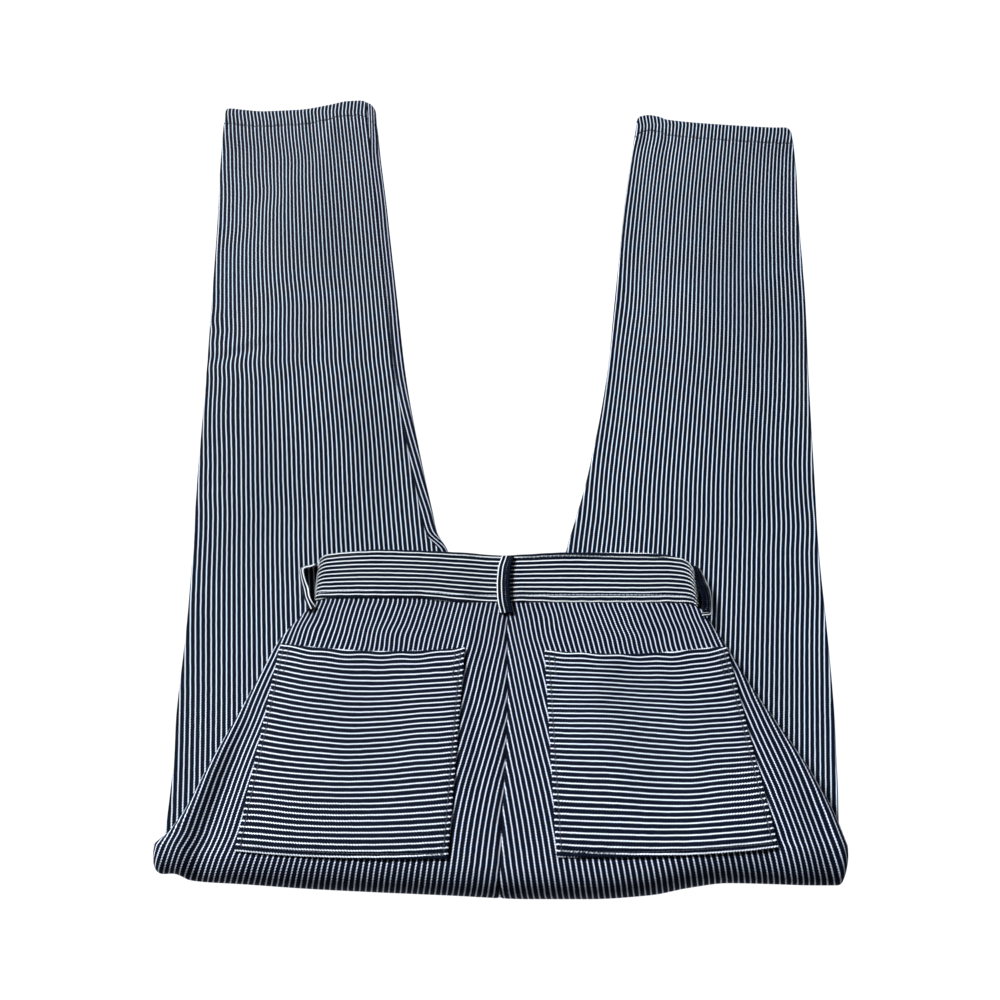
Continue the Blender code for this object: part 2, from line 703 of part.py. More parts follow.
def pocket_grid(leg):
    """Outer face of a patch pocket, laid on the seat."""
    pocket = POCKETS[leg]
    corners = {name: np.array(corner) for name, corner in pocket._asdict().items()}
    rows = []
    for down_share in np.linspace(0, 1, 10):
        inner = corners["top_in"] + (corners["bottom_in"] - corners["top_in"]) * down_share
        outer = corners["top_out"] + (corners["bottom_out"] - corners["top_out"]) * down_share
        row = []
        for out_share in POCKET_SHARES:
            x, y = inner + (outer - inner) * out_share
            y -= POCKET_SAG * math.sin(math.pi * out_share) * (1 - 0.5 * down_share)
            gape = math.sin(math.pi * out_share) * math.exp(-down_share / POCKET_MOUTH_DEPTH)
            z = seat_height(x, y) + 2 * GAP + CLOTH + POCKET_MOUTH_PROUD * gape
            row.append((x, y, z))
        rows.append(row)
    return np.array(rows)


def build_pockets(denim, collection):
    for leg in POCKETS:
        cloth_wall(f"pocket_{leg}", pocket_grid(leg), CLOTH, denim, collection, UP)


def build_back_loop(denim, collection):
    """The centre belt loop, sewn to the seat below and to the waistband's edge."""
    rows = []
    edge_y = waist_edge_y(LOOP_WIDTH / 2) - LOOP_EDGE_SETBACK
    for share in np.linspace(0, 1, 12):
        y = LOOP_BACK_END_Y + (edge_y - LOOP_BACK_END_Y) * share
        on_band = smooth_step(LOOP_BACK_END_Y, SEAT_Y - 2 * GAP, y)
        lift = WAIST_PROUD * on_band + LOOP_BACK_BOW * math.sin(math.pi * share)
        row = []
        for width_share in (0.0, 0.5, 1.0):
            x = read(BACK_LOOP, "x", y) + LOOP_WIDTH * width_share
            row.append((x, y, seat_height(x, min(y, SEAT_Y)) + 1.5 * GAP + STRAP + lift))
        rows.append(row)
    cloth_wall("belt_loop_back", np.array(rows), STRAP, denim, collection, UP)


def build_side_loops(denim, collection):
    """The two side loops: straps that stand off the waistband's ends."""
    for leg, table in SIDE_LOOPS.items():
        near = np.array([(row.in_x, row.in_y, row.in_z) for row in table])
        far = np.array([(row.out_x, row.out_y, row.out_z) for row in table])
        grid = np.stack([near, (near + far) / 2, far], axis=1)
        cloth_wall(f"belt_loop_{leg}", grid, STRAP, denim, collection, UP)


def build_button(brass, collection):
    """The waist button, on the front of the waistband, which faces down between the thighs."""
    rim = BUTTON_RADIUS - BUTTON_ROUND
    profile = [
        (0.0, 0.0),
        (BUTTON_SHANK_RADIUS, 0.0),
        (BUTTON_SHANK_RADIUS, BUTTON_SHANK),
        (rim, BUTTON_SHANK),
        (BUTTON_RADIUS, BUTTON_SHANK + BUTTON_ROUND),
        (rim, BUTTON_HEIGHT - BUTTON_ROUND / 2),
        (0.0, BUTTON_HEIGHT),
    ]
    mesh = bpy.data.meshes.new("waist_button")
    outline = bmesh.new()
    points = [outline.verts.new((radius, 0, -depth)) for radius, depth in profile]
    for one, two in zip(points, points[1:]):
        outline.edges.new((one, two))
    outline.to_mesh(mesh)
    outline.free()
    made = add_object("waist_button", mesh, brass, collection)
    made.location.y += BUTTON_Y
    made.location.z += FRONT_RISE_BASE - GAP
    turn = made.modifiers.new("turned", "SCREW")
    turn.steps = turn.render_steps = 20
    turn.use_merge_vertices = True
    turn.merge_threshold = 0.00005
    turn.use_normal_calculate = True


def main():
    for old in list(bpy.data.objects):
        bpy.data.objects.remove(old)
    collection = bpy.data.collections.new("jeans")
    bpy.context.scene.collection.children.link(collection)
    denim = material("striped_denim", DENIM)
    layers = material("denim_layers", DENIM_SHADED)
    brass = material("brass", BRASS, 0.35, 1.0)
    build_leg_panels(denim, collection)
    build_front_rise(layers, collection)
    build_waistband(denim, collection)
    build_pockets(denim, collection)
    build_back_loop(denim, collection)
    build_side_loops(denim, collection)
    build_button(brass, collection)


main()
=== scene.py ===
"""Striped denim jeans, folded over once and laid out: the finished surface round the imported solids.

Each cut piece of cloth is a thin wall on its solid's form, on a fine grid, with its creases, grooves
along the seams, and stripe coordinates: u across the stripes and v along them, in metres of cloth.
Shape functions work in the layout's own frame, as the solids' source does; SHIFT moves what they
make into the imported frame.
"""

import json
import math
from collections import namedtuple

import bmesh
import bpy
import numpy as np
from mathutils import Matrix, Vector

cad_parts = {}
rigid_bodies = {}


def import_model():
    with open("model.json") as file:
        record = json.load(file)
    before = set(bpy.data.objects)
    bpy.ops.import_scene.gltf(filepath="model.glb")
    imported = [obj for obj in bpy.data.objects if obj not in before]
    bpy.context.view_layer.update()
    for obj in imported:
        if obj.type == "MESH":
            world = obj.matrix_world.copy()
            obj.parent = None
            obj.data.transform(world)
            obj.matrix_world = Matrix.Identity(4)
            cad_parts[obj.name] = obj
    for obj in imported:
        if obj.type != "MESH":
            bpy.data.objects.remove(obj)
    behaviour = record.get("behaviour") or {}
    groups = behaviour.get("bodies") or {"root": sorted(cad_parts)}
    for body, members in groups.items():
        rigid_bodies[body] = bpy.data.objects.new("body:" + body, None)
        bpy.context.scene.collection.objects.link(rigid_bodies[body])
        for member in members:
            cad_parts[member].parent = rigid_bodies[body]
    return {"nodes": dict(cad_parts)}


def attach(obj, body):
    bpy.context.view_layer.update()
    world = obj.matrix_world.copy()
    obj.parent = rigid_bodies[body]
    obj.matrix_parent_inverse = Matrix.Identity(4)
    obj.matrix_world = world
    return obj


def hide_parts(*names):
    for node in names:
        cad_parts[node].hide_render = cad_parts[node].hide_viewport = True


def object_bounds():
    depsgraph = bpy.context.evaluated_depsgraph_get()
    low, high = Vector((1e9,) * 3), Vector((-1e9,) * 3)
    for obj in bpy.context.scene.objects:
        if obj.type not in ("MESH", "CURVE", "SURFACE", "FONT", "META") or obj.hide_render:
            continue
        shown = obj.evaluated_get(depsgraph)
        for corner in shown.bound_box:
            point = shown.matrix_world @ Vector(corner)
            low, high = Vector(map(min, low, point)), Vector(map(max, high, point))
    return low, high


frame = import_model()
CAD_LOW, CAD_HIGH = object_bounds()

# ---------------------------------------------------------------- sizes of the solids
CLOTH = 0.0012
BAND = 0.0024
STRAP = 0.0016
GAP = 0.0003
HEM_DEPTH = 0.026
HEM_EDGE = 0.0056
HEM_LIFT = 0.0003
LEG_EDGE = 0.0036
LEG_MIDDLE = 0.0061
LEG_CROWN = 0.45
UNDER_FOLD = 0.0050
FRONT_TUCK = 0.0015
CROTCH_Y = -0.305
CROTCH_OPENING = 0.016
THIGH_COVERED_Y = -0.120
THIGH_FREE_Y = 0.020
HEM_PUFF_Y = (0.330, 0.360)
HEM_SLANT_Y = (0.200, 0.360)
FOLD_REACH = 0.016
FOLD_REACH_RIGHT = 0.007
FOLD_OPENS_X = (0.100, 0.220)
SEAT_Y = -0.180
WAIST_PROUD = 0.0008
WAIST_GAP = 0.0005
WAIST_FLAT_X = (-0.1402, 0.1500)  # between its turned ends
FRONT_RISE_BASE = UNDER_FOLD + GAP
LOOP_WIDTH = 0.0102
LOOP_BACK_END_Y = -0.189
LOOP_BACK_BOW = 0.0012
LOOP_EDGE_SETBACK = 0.0015
POCKET_SAG = 0.005
POCKET_MOUTH_PROUD = 0.0007
POCKET_MOUTH_DEPTH = 0.08
POCKET_WIDTH = 0.141
POCKET_HEIGHT = 0.147
WAIST_DEPTH = 0.040


def rows_of(kind, *values):
    """A table: one row of this kind for each tuple."""
    return [kind(*value) for value in values]


LegRow = namedtuple("LegRow", "y outer inner")
LEGS = {
    "left": rows_of(
        LegRow,
        (0.398, 0.292, 0.132), (0.33, 0.288, 0.123), (0.24, 0.279, 0.111), (0.14, 0.27, 0.097),
        (0.04, 0.261, 0.083), (-0.06, 0.253, 0.063), (-0.0955, 0.2497, 0.0548),
        (-0.114, 0.2478, 0.0506), (-0.131, 0.246, 0.0415), (-0.2, 0.2405, 0.03), (-0.26, 0.2375, 0.013),
        (CROTCH_Y, 0.233, GAP / 2), (-0.375, 0.231, GAP / 2),
    ),
    "right": rows_of(
        LegRow,
        (0.377, 0.305, 0.144), (0.324, 0.303, 0.135), (0.24, 0.295, 0.122), (0.14, 0.286, 0.108),
        (0.04, 0.274, 0.094), (-0.06, 0.263, 0.073), (-0.134, 0.255, 0.0515), (-0.2, 0.2505, 0.034),
        (-0.26, 0.2455, 0.014), (CROTCH_Y, 0.24, GAP / 2), (-0.375, 0.233, GAP / 2),
    ),
}
SIDE = {"left": -1.0, "right": 1.0}

Hem = namedtuple("Hem", "y slope")
HEMS = {"left": Hem(0.398, 0.09), "right": Hem(0.377, -0.14)}

SeatRow = namedtuple("SeatRow", "y middle side left right")
SEAT = rows_of(
    SeatRow,
    (SEAT_Y, 0.0125, 0.0105, 0.146, 0.156), (-0.21, 0.015, 0.0118, 0.167, 0.17),
    (-0.24, 0.018, 0.0135, 0.178, 0.182), (-0.28, 0.0215, 0.0158, 0.193, 0.201),
    (-0.32, 0.025, 0.0185, 0.207, 0.219), (-0.35, 0.0275, 0.0205, 0.2165, 0.229),
    (-0.376, 0.029, 0.022, 0.2336, 0.234),
)
SIDE_ROUNDING_WAIST = 0.0030
SIDE_ROUNDING_FOLD = 0.0070
CORNER_RECESS = {"left": 0.0, "right": 0.0050}  # of the fold's near corners

# The fold's near edge, the seam below the waistband, and the pockets.
NearPoint = namedtuple("NearPoint", "x y")
NEAR_LINE = rows_of(
    NearPoint,
    (-0.2333, -0.3715), (-0.2308, -0.373), (-0.2247, -0.3752), (-0.2182, -0.375), (-0.2134, -0.3762),
    (-0.2059, -0.3792), (-0.165, -0.3822), (-0.125, -0.3849), (-0.086, -0.3868), (-0.033, -0.389),
    (0.02, -0.3912), (0.059, -0.3912), (0.099, -0.3888), (0.125, -0.3842), (0.152, -0.3812),
    (0.178, -0.3817), (0.205, -0.3825), (0.2247, -0.3823), (0.235, -0.3805),
)
SEAM = rows_of(
    NearPoint,
    (-0.15, -0.1815), (-0.1425, -0.1785), (-0.137, -0.1765), (-0.13, -0.176), (-0.07, -0.1762),
    (-0.03, -0.1798), (0.14, -0.1796), (0.147, -0.1806), (0.1515, -0.1835), (0.158, -0.1865),
)

Fold = namedtuple("Fold", "x0 y0 x1 y1 half_width height")
FOLD_FADE = (-0.020, 0.030)
SEAT_FOLDS = rows_of(
    Fold,
    (-0.206, -0.4, -0.178, -0.262, 0.01, -0.0031), (-0.227, -0.4, -0.192, -0.28, 0.009, 0.0024),
    (-0.03, -0.186, -0.022, -0.25, 0.006, 0.0016), (0.1, -0.225, 0.112, -0.36, 0.022, -0.0014),
    (-0.095, -0.225, -0.08, -0.34, 0.026, -0.0012), (0.206, -0.395, 0.188, -0.3, 0.014, 0.0016),
)

Pocket = namedtuple("Pocket", "top_in top_out bottom_out bottom_in")
POCKETS = {
    "left": Pocket((-0.026, -0.218), (-0.164, -0.213), (-0.175, -0.3632), (-0.034, -0.3685)),
    "right": Pocket((0.033, -0.220), (0.169, -0.215), (0.184, -0.3615), (0.037, -0.3675)),
}

# The belt loops: a strap's edge nearer the middle and its outer one, along its run.
LoopRow = namedtuple("LoopRow", "run in_x in_y in_z out_x out_y out_z")
SIDE_LOOPS = {
    "left": rows_of(
        LoopRow,
        (0.0, -0.14, -0.1835, 0.013, -0.1475, -0.1862, 0.013),
        (0.005, -0.1438, -0.1792, 0.0145, -0.1488, -0.1806, 0.0112),
        (0.01, -0.1463, -0.1745, 0.0148, -0.152, -0.1732, 0.007),
        (0.016, -0.1474, -0.1691, 0.0145, -0.1541, -0.1672, 0.0064),
        (0.022, -0.1498, -0.1637, 0.0142, -0.1558, -0.1612, 0.0064),
        (0.028, -0.152, -0.1583, 0.0145, -0.1572, -0.1552, 0.0064),
        (0.034, -0.1532, -0.153, 0.0149, -0.158, -0.1492, 0.0064),
        (0.037, -0.1518, -0.1507, 0.0149, -0.1545, -0.1458, 0.0064),
        (0.041, -0.1482, -0.15, 0.0147, -0.149, -0.1444, 0.0064),
        (0.044, -0.1452, -0.1484, 0.0145, -0.145, -0.1432, 0.0064),
        (0.045, -0.1446, -0.1479, 0.0144, -0.1444, -0.1427, 0.0064),
    ),
    "right": rows_of(
        LoopRow,
        (-0.003, 0.1534, -0.1914, 0.0137, 0.1612, -0.1896, 0.011),
        (0.0, 0.154, -0.1886, 0.0137, 0.1618, -0.1864, 0.0106),
        (0.005, 0.1544, -0.1838, 0.0138, 0.163, -0.1806, 0.0102),
        (0.01, 0.1547, -0.1791, 0.0145, 0.1634, -0.1765, 0.0099),
        (0.015, 0.1546, -0.1745, 0.0145, 0.1634, -0.1721, 0.0097),
        (0.02, 0.1535, -0.1701, 0.0144, 0.1632, -0.1683, 0.0097),
        (0.024, 0.1522, -0.1664, 0.015, 0.1624, -0.1649, 0.0102),
        (0.028, 0.1513, -0.1628, 0.0149, 0.1611, -0.1614, 0.01),
        (0.034, 0.151, -0.1574, 0.0153, 0.1593, -0.1556, 0.0104),
        (0.04, 0.1513, -0.1524, 0.015, 0.1565, -0.1496, 0.0102),
        (0.043, 0.1507, -0.1496, 0.0146, 0.155, -0.1468, 0.01),
    ),
}
BackLoopRow = namedtuple("BackLoopRow", "y x")  # of the centre loop's left edge
BACK_LOOP = rows_of(
    BackLoopRow,
    (-0.189, 0.0), (-0.178, -0.0022), (-0.167, -0.0027), (-0.153, -0.0018), (-0.141, 0.0013),
)

NEAREST = min(point.y for point in NEAR_LINE)
SHIFT = np.array([CAD_LOW.x + LEGS["left"][0].outer, CAD_LOW.y - NEAREST, 0.0])

# ---------------------------------------------------------------- finer form, in the same frame
# The hem's edge, from the straight slanted line: how far it stands out (or falls short) along x.
HemPoint = namedtuple("HemPoint", "x out")
HEM_LINES = {
    "left": rows_of(
        HemPoint,
        (-0.293, -0.003), (-0.289, 0.0016), (-0.271, -0.0024), (-0.249, -0.0067), (-0.212, -0.0077),
        (-0.181, -0.0025), (-0.163, 0.0018), (-0.15, 0.0018), (-0.14, -0.003), (-0.131, -0.015),
    ),
    "right": rows_of(
        HemPoint,
        (0.142, -0.015), (0.148, -0.0075), (0.158, -0.004), (0.167, -0.005), (0.176, -0.0088),
        (0.2, -0.0097), (0.24, -0.0085), (0.285, -0.0055), (0.3, -0.0035), (0.306, -0.012),
    ),
}
HEM_LINE_Y = (0.230, 0.345)  # the leg's stations take up the hem's line over this stretch
HEM_STITCH = 0.0245  # from the hem's edge

# Along sewing and edges: a groove or a rolled edge, and the puckers, whose pitch drifts.
Dip = namedtuple("Dip", "depth width")
HEM_ROLL, HEM_GROOVE = Dip(0.0007, 0.0008), Dip(0.0006, 0.0009)
SEAM_GROOVE = Dip(0.0005, 0.0014)
WAIST_ROLL, WAIST_SEAM_ROLL = Dip(0.0008, 0.0007), Dip(0.0003, 0.0006)
WAIST_GROOVE, WAIST_SEAM_GROOVE = Dip(0.0004, 0.0008), Dip(0.0004, 0.0010)
POCKET_ROLL, POCKET_MOUTH_ROLL = Dip(0.0005, 0.0006), Dip(0.0003, 0.0006)
POCKET_GROOVE = Dip(0.0006, 0.0008)
LOOP_ROLL = Dip(0.0006, 0.0006)
Pucker = namedtuple("Pucker", "height pitch drift drift_length reach")
HEM_PUCKER = Pucker(0.00035, 0.0115, 0.7, 0.021, 0.011)
WAIST_SEAM_PUCKER = Pucker(0.00025, 0.016, 0.6, 0.037, 0.010)
WAIST_EDGE_PUCKER = Pucker(0.00015, 0.016, 0.6, 0.037, 0.008)
POCKET_SIDE_PUCKER = Pucker(0.00022, 0.013, 0.5, 0.029, 0.009)
POCKET_BOTTOM_PUCKER = Pucker(0.00022, 0.015, 0.5, 0.033, 0.010)

# On the left leg the inner seam lies on top, and the back panel wraps over the leg's inner edge.
INSEAM_SHIFT = {"left": 0.0075, "right": 0.0}
INSEAM_TURNS_Y = (-0.170, -0.150)
INSEAM_SHIFTS_Y = (-0.150, -0.115)

# The centre seam leaves the middle by this much on its way up to the waistband.
SEAM_DRIFT = 0.0056
SEAM_DRIFT_Y = (-0.385, -0.250)
SEAM_DRIFT_REACH = 0.12

# Creases of the legs' upper faces. The first ones cross the side edges, as short soft wrinkles.
LEG_CREASES = {
    "left": rows_of(
        Fold,
        (-0.262, 0.058, -0.212, 0.076, 0.005, -0.0007), (-0.256, 0.066, -0.2, 0.09, 0.006, 0.0006),
        (-0.256, -0.036, -0.228, -0.024, 0.005, -0.0005),
        (-0.252, -0.076, -0.222, -0.066, 0.0045, -0.0005), (-0.222, 0.29, -0.196, 0.12, 0.024, 0.0005),
        (-0.168, 0.33, -0.14, 0.11, 0.014, -0.0005), (-0.196, 0.38, -0.188, 0.322, 0.006, -0.0007),
        (-0.178, 0.385, -0.174, 0.33, 0.006, 0.0006), (-0.15, 0.14, -0.118, -0.08, 0.016, 0.0005),
        (-0.2, 0.04, -0.17, -0.13, 0.022, -0.0005), (-0.14, 0.01, -0.09, 0.03, 0.007, -0.0004),
    ),
    "right": rows_of(
        Fold,
        (0.292, 0.16, 0.262, 0.176, 0.005, -0.0005), (0.272, -0.02, 0.236, -0.01, 0.006, -0.0004),
        (0.176, 0.35, 0.17, 0.296, 0.006, -0.0006), (0.163, 0.355, 0.156, 0.302, 0.006, 0.0006),
        (0.25, 0.32, 0.236, 0.15, 0.02, -0.0005), (0.2, 0.25, 0.178, 0.03, 0.02, 0.0005),
        (0.118, 0.15, 0.094, 0.01, 0.01, -0.0005), (0.19, 0.02, 0.16, -0.13, 0.022, 0.0005),
        (0.24, 0.08, 0.222, -0.11, 0.018, -0.0005), (0.15, -0.03, 0.104, -0.012, 0.007, -0.0004),
    ),
}
# Under the legs and the fold: shallow hollows, because the cloth rests on the table.
UNDER_CREASES = {
    "left": rows_of(
        Fold,
        (-0.25, 0.3, -0.205, 0.09, 0.014, -0.0009), (-0.2, 0.04, -0.12, -0.1, 0.012, -0.0008),
        (-0.18, 0.35, -0.15, 0.23, 0.01, -0.0007), (-0.222, -0.14, -0.08, -0.17, 0.01, -0.0009),
        (-0.2, -0.24, -0.04, -0.29, 0.012, -0.001), (-0.18, -0.33, -0.06, -0.345, 0.008, -0.0007),
    ),
    "right": rows_of(
        Fold,
        (0.268, 0.28, 0.222, 0.1, 0.013, -0.0009), (0.2, 0.06, 0.13, -0.09, 0.013, -0.0008),
        (0.19, 0.33, 0.16, 0.24, 0.01, -0.0006), (0.226, -0.13, 0.09, -0.18, 0.011, -0.0009),
        (0.21, -0.23, 0.05, -0.285, 0.012, -0.001), (0.17, -0.335, 0.07, -0.35, 0.008, -0.0007),
    ),
}
# Small creases of the seat, on top of its large folds.
SEAT_CREASES = rows_of(
    Fold,
    (-0.118, -0.186, -0.07, -0.216, 0.006, 0.0006), (-0.096, -0.184, -0.052, -0.214, 0.006, -0.0006),
    (-0.148, -0.188, -0.122, -0.204, 0.0045, -0.0005), (0.058, -0.188, 0.11, -0.216, 0.006, 0.0006),
    (0.078, -0.186, 0.132, -0.214, 0.006, -0.0006), (0.128, -0.188, 0.16, -0.206, 0.005, 0.0005),
    (0.024, -0.184, 0.04, -0.206, 0.004, -0.0004), (-0.026, -0.226, -0.016, -0.33, 0.003, -0.001),
    (-0.19, -0.24, -0.222, -0.372, 0.0045, 0.0007), (0.186, -0.236, 0.222, -0.362, 0.005, -0.0007),
    (0.176, -0.35, 0.226, -0.372, 0.006, -0.001), (0.02, -0.372, 0.15, -0.38, 0.005, 0.0004),
    (-0.16, -0.376, -0.04, -0.382, 0.005, 0.0004),
)
POCKET_STITCH = 0.0032  # from the pocket's sides and bottom
POCKET_TACK = 0.0072  # the short second row at the mouth's corners
POCKET_TACK_LENGTH = 0.020
POCKET_SIDES_DIFFER = 0.031  # the two sides' puckers are this far out of step
WAIST_STITCH = 0.0030  # from the waistband's free edge
WAIST_PALE_STITCH = 0.0056  # from the seam below it
WAIST_TOP_MARGIN = 0.0005
WAIST_UNDER_SHARE = 0.4  # of the relief, on the face that lies down
POCKET_CREASES = {
    "left": rows_of(
        Fold,
        (-0.15, -0.224, -0.118, -0.262, 0.007, 0.0005), (-0.06, -0.232, -0.052, -0.3, 0.009, 0.0004),
        (-0.14, -0.3, -0.12, -0.352, 0.01, -0.0004), (-0.104, -0.226, -0.108, -0.25, 0.005, -0.0005),
    ),
    "right": rows_of(
        Fold,
        (0.076, -0.226, 0.07, -0.262, 0.007, 0.0006), (0.094, -0.226, 0.09, -0.252, 0.005, -0.0006),
        (0.118, -0.226, 0.116, -0.254, 0.006, 0.0005), (0.15, -0.24, 0.142, -0.31, 0.009, 0.0004),
        (0.06, -0.3, 0.076, -0.35, 0.01, -0.0004),
    ),
}
CREASE_FADE = (-0.008, 0.014)

# ---------------------------------------------------------------- stripes
PITCH = 0.00375  # of the cloth's stripes
# x of a white stripe of the front panels, station by station; the others lie LEG_PITCHES apart.
StripeRow = namedtuple("StripeRow", "y x")
LEG_STRIPES = {
    "left": rows_of(
        StripeRow,
        (0.386, -0.3036), (0.279, -0.288), (0.182, -0.2749), (0.094, -0.2631), (0.014, -0.2517),
        (-0.059, -0.2419), (-0.126, -0.2332), (-0.38, -0.199),
    ),
    "right": rows_of(
        StripeRow,
        (0.366, 0.1387), (0.26, 0.1207), (0.165, 0.1076), (0.079, 0.0967), (0.0, 0.084),
        (-0.072, 0.0731), (-0.105, 0.0691), (-0.38, 0.0281),
    ),
}
LEG_PITCHES = {"left": 0.003791, "right": 0.003753}
LEG_LEANS = {"left": 0.1375, "right": 0.148}  # of the back panels' stripes, under the legs

# Where creases shift the stripes: a soft oval in plan and how far it moves them. The shift is
# along x on the legs, outwards on the seat and downwards on the pockets.
Jog = namedtuple("Jog", "x y half_x half_y shift")
LEG_JOGS = {
    "left": rows_of(
        Jog,
        (-0.265, 0.265, 0.04, 0.04, 0.0022), (-0.25, 0.335, 0.045, 0.04, 0.0022),
        (-0.231, 0.27, 0.022, 0.025, 0.0017), (-0.255, 0.222, 0.03, 0.022, 0.0011),
        (-0.188, 0.124, 0.05, 0.028, 0.0016), (-0.263, 0.08, 0.02, 0.012, -0.0016),
        (-0.17, 0.057, 0.09, 0.01, -0.0005), (-0.248, 0.088, 0.034, 0.022, 0.0012),
        (-0.252, 0.052, 0.036, 0.012, -0.0012), (-0.256, 0.02, 0.022, 0.03, -0.0007),
        (-0.247, -0.012, 0.024, 0.05, -0.0026), (-0.136, -0.025, 0.045, 0.045, 0.0012),
        (-0.244, -0.075, 0.028, 0.022, -0.001), (-0.175, -0.095, 0.035, 0.02, 0.0006),
        (-0.243, -0.18, 0.026, 0.062, -0.0018), (-0.215, 0.312, 0.028, 0.022, 0.0014),
        (-0.25, 0.37, 0.04, 0.012, 0.0007), (-0.265, 0.104, 0.012, 0.012, -0.0014),
    ),
    "right": rows_of(
        Jog,
        (0.137, 0.23, 0.014, 0.11, 0.0012), (0.122, 0.13, 0.018, 0.05, 0.0022),
        (0.096, 0.01, 0.022, 0.06, 0.0013), (0.078, -0.085, 0.02, 0.035, 0.001),
        (0.283, 0.13, 0.02, 0.06, 0.0015), (0.262, 0.01, 0.02, 0.07, 0.002),
        (0.248, -0.108, 0.034, 0.022, 0.0018), (0.243, -0.165, 0.026, 0.03, 0.0012),
        (0.17, 0.345, 0.012, 0.014, 0.0009), (0.145, 0.355, 0.014, 0.02, 0.0016),
        (0.29, 0.358, 0.025, 0.016, 0.0013), (0.298, 0.235, 0.014, 0.05, 0.0013),
        (0.255, 0.11, 0.03, 0.05, 0.0008), (0.225, 0.02, 0.022, 0.03, 0.0008),
        (0.238, -0.075, 0.028, 0.02, 0.0009),
    ),
}
# A white stripe's distance from the middle on the seat, and the pitch across.
SeatStripe = namedtuple("SeatStripe", "y left right pitch")
SEAT_STRIPES = rows_of(
    SeatStripe,
    (-0.18, -0.0075, 0.0015, 0.00355), (-0.221, 0.0, 0.0092, 0.0037), (-0.253, 0.006, 0.0151, 0.00378),
    (-0.297, 0.0176, 0.0248, 0.00382), (-0.325, 0.025, 0.0307, 0.00384),
    (-0.351, 0.0296, 0.035, 0.00385), (-0.389, 0.034, 0.0395, 0.00385),
)
SEAT_JOGS = {
    "left": rows_of(
        Jog,
        (-0.08, -0.204, 0.026, 0.01, 0.0017), (-0.116, -0.193, 0.011, 0.009, 0.001),
        (-0.146, -0.196, 0.012, 0.009, 0.001), (-0.118, -0.18, 0.03, 0.01, 0.0028),
        (-0.085, -0.222, 0.045, 0.012, -0.002), (-0.146, -0.203, 0.014, 0.009, 0.0014),
        (-0.065, -0.201, 0.02, 0.008, -0.0009), (-0.137, -0.188, 0.014, 0.012, 0.0013),
        (-0.095, -0.188, 0.01, 0.008, 0.0009), (-0.106, -0.21, 0.018, 0.01, -0.0007),
        (-0.036, -0.232, 0.01, 0.016, 0.0009), (-0.015, -0.213, 0.026, 0.014, -0.0008),
        (-0.1, -0.375, 0.06, 0.02, -0.001), (-0.225, -0.372, 0.022, 0.012, 0.0044),
        (-0.155, -0.368, 0.03, 0.02, -0.0008),
    ),
    "right": rows_of(
        Jog,
        (0.09, -0.207, 0.03, 0.01, 0.0014), (0.134, -0.199, 0.024, 0.012, 0.0008),
        (0.037, -0.191, 0.01, 0.008, 0.0009), (0.125, -0.22, 0.034, 0.014, -0.0028),
        (0.075, -0.215, 0.04, 0.022, -0.0012), (0.14, -0.182, 0.022, 0.008, 0.0018),
        (0.098, -0.201, 0.02, 0.009, -0.0012), (0.085, -0.182, 0.024, 0.008, -0.0009),
        (0.006, -0.25, 0.009, 0.06, 0.0012), (0.032, -0.208, 0.018, 0.014, -0.0009),
        (0.202, -0.31, 0.022, 0.03, 0.0012), (0.08, -0.372, 0.12, 0.02, 0.0004),
    ),
}
# How far towards +X the stripes by the sides lie from where even ones would.
SideShift = namedtuple("SideShift", "y left right")
SEAT_SIDES = rows_of(
    SideShift,
    (-0.235, 0.0, 0.0), (-0.256, 0.0, -0.001), (-0.274, 0.0006, -0.001), (-0.291, 0.001, -0.0009),
    (-0.308, 0.0022, -0.0008), (-0.325, 0.0037, -0.0004), (-0.341, 0.0041, 0.0005),
    (-0.349, 0.004, 0.001), (-0.3565, 0.003, 0.0016), (-0.364, 0.0017, 0.002), (-0.372, 0.0005, 0.0021),
    (-0.379, -0.001, 0.0016),
)
SEAT_SIDES_X = (0.095, 0.175)
# And the outermost ones of all on the right, next to the seat's edge.
SEAT_EDGES = rows_of(
    SideShift,
    (-0.255, 0.0, 0.0), (-0.28, 0.0, 0.0012), (-0.3, 0.0, 0.0022), (-0.33, 0.0, 0.003),
    (-0.355, 0.0, 0.0028), (-0.379, 0.0, 0.0016),
)
SEAT_EDGE_REACH = 0.012
# Round the fold the stripes by the sides lean outwards, this much per metre of cloth.
FOLD_LEANS = {"left": 0.17, "right": 0.02}
FOLD_LEANS_X = (0.080, 0.190)
FOLD_LEANS_RUN = 0.030
# Pocket stripes hang from their lowest point (at x middle) and rise towards both sides.
PocketStripe = namedtuple("PocketStripe", "y middle out inn")
POCKET_STRIPES = {
    "left": rows_of(
        PocketStripe,
        (-0.225, -0.085, 0.0115, 0.006), (-0.243, -0.09, 0.0105, 0.0038), (-0.287, -0.1, 0.007, 0.0055),
        (-0.31, -0.104, 0.005, 0.0055), (-0.344, -0.095, 0.0037, 0.0034),
        (-0.358, -0.088, 0.004, 0.0027),
    ),
    "right": rows_of(
        PocketStripe,
        (-0.225, 0.112, 0.009, 0.004), (-0.243, 0.118, 0.0068, 0.0036), (-0.265, 0.138, 0.0042, 0.0044),
        (-0.287, 0.132, 0.0034, 0.0052), (-0.307, 0.122, 0.0042, 0.005), (-0.326, 0.12, 0.0046, 0.0043),
        (-0.342, 0.117, 0.0043, 0.003),
    ),
}
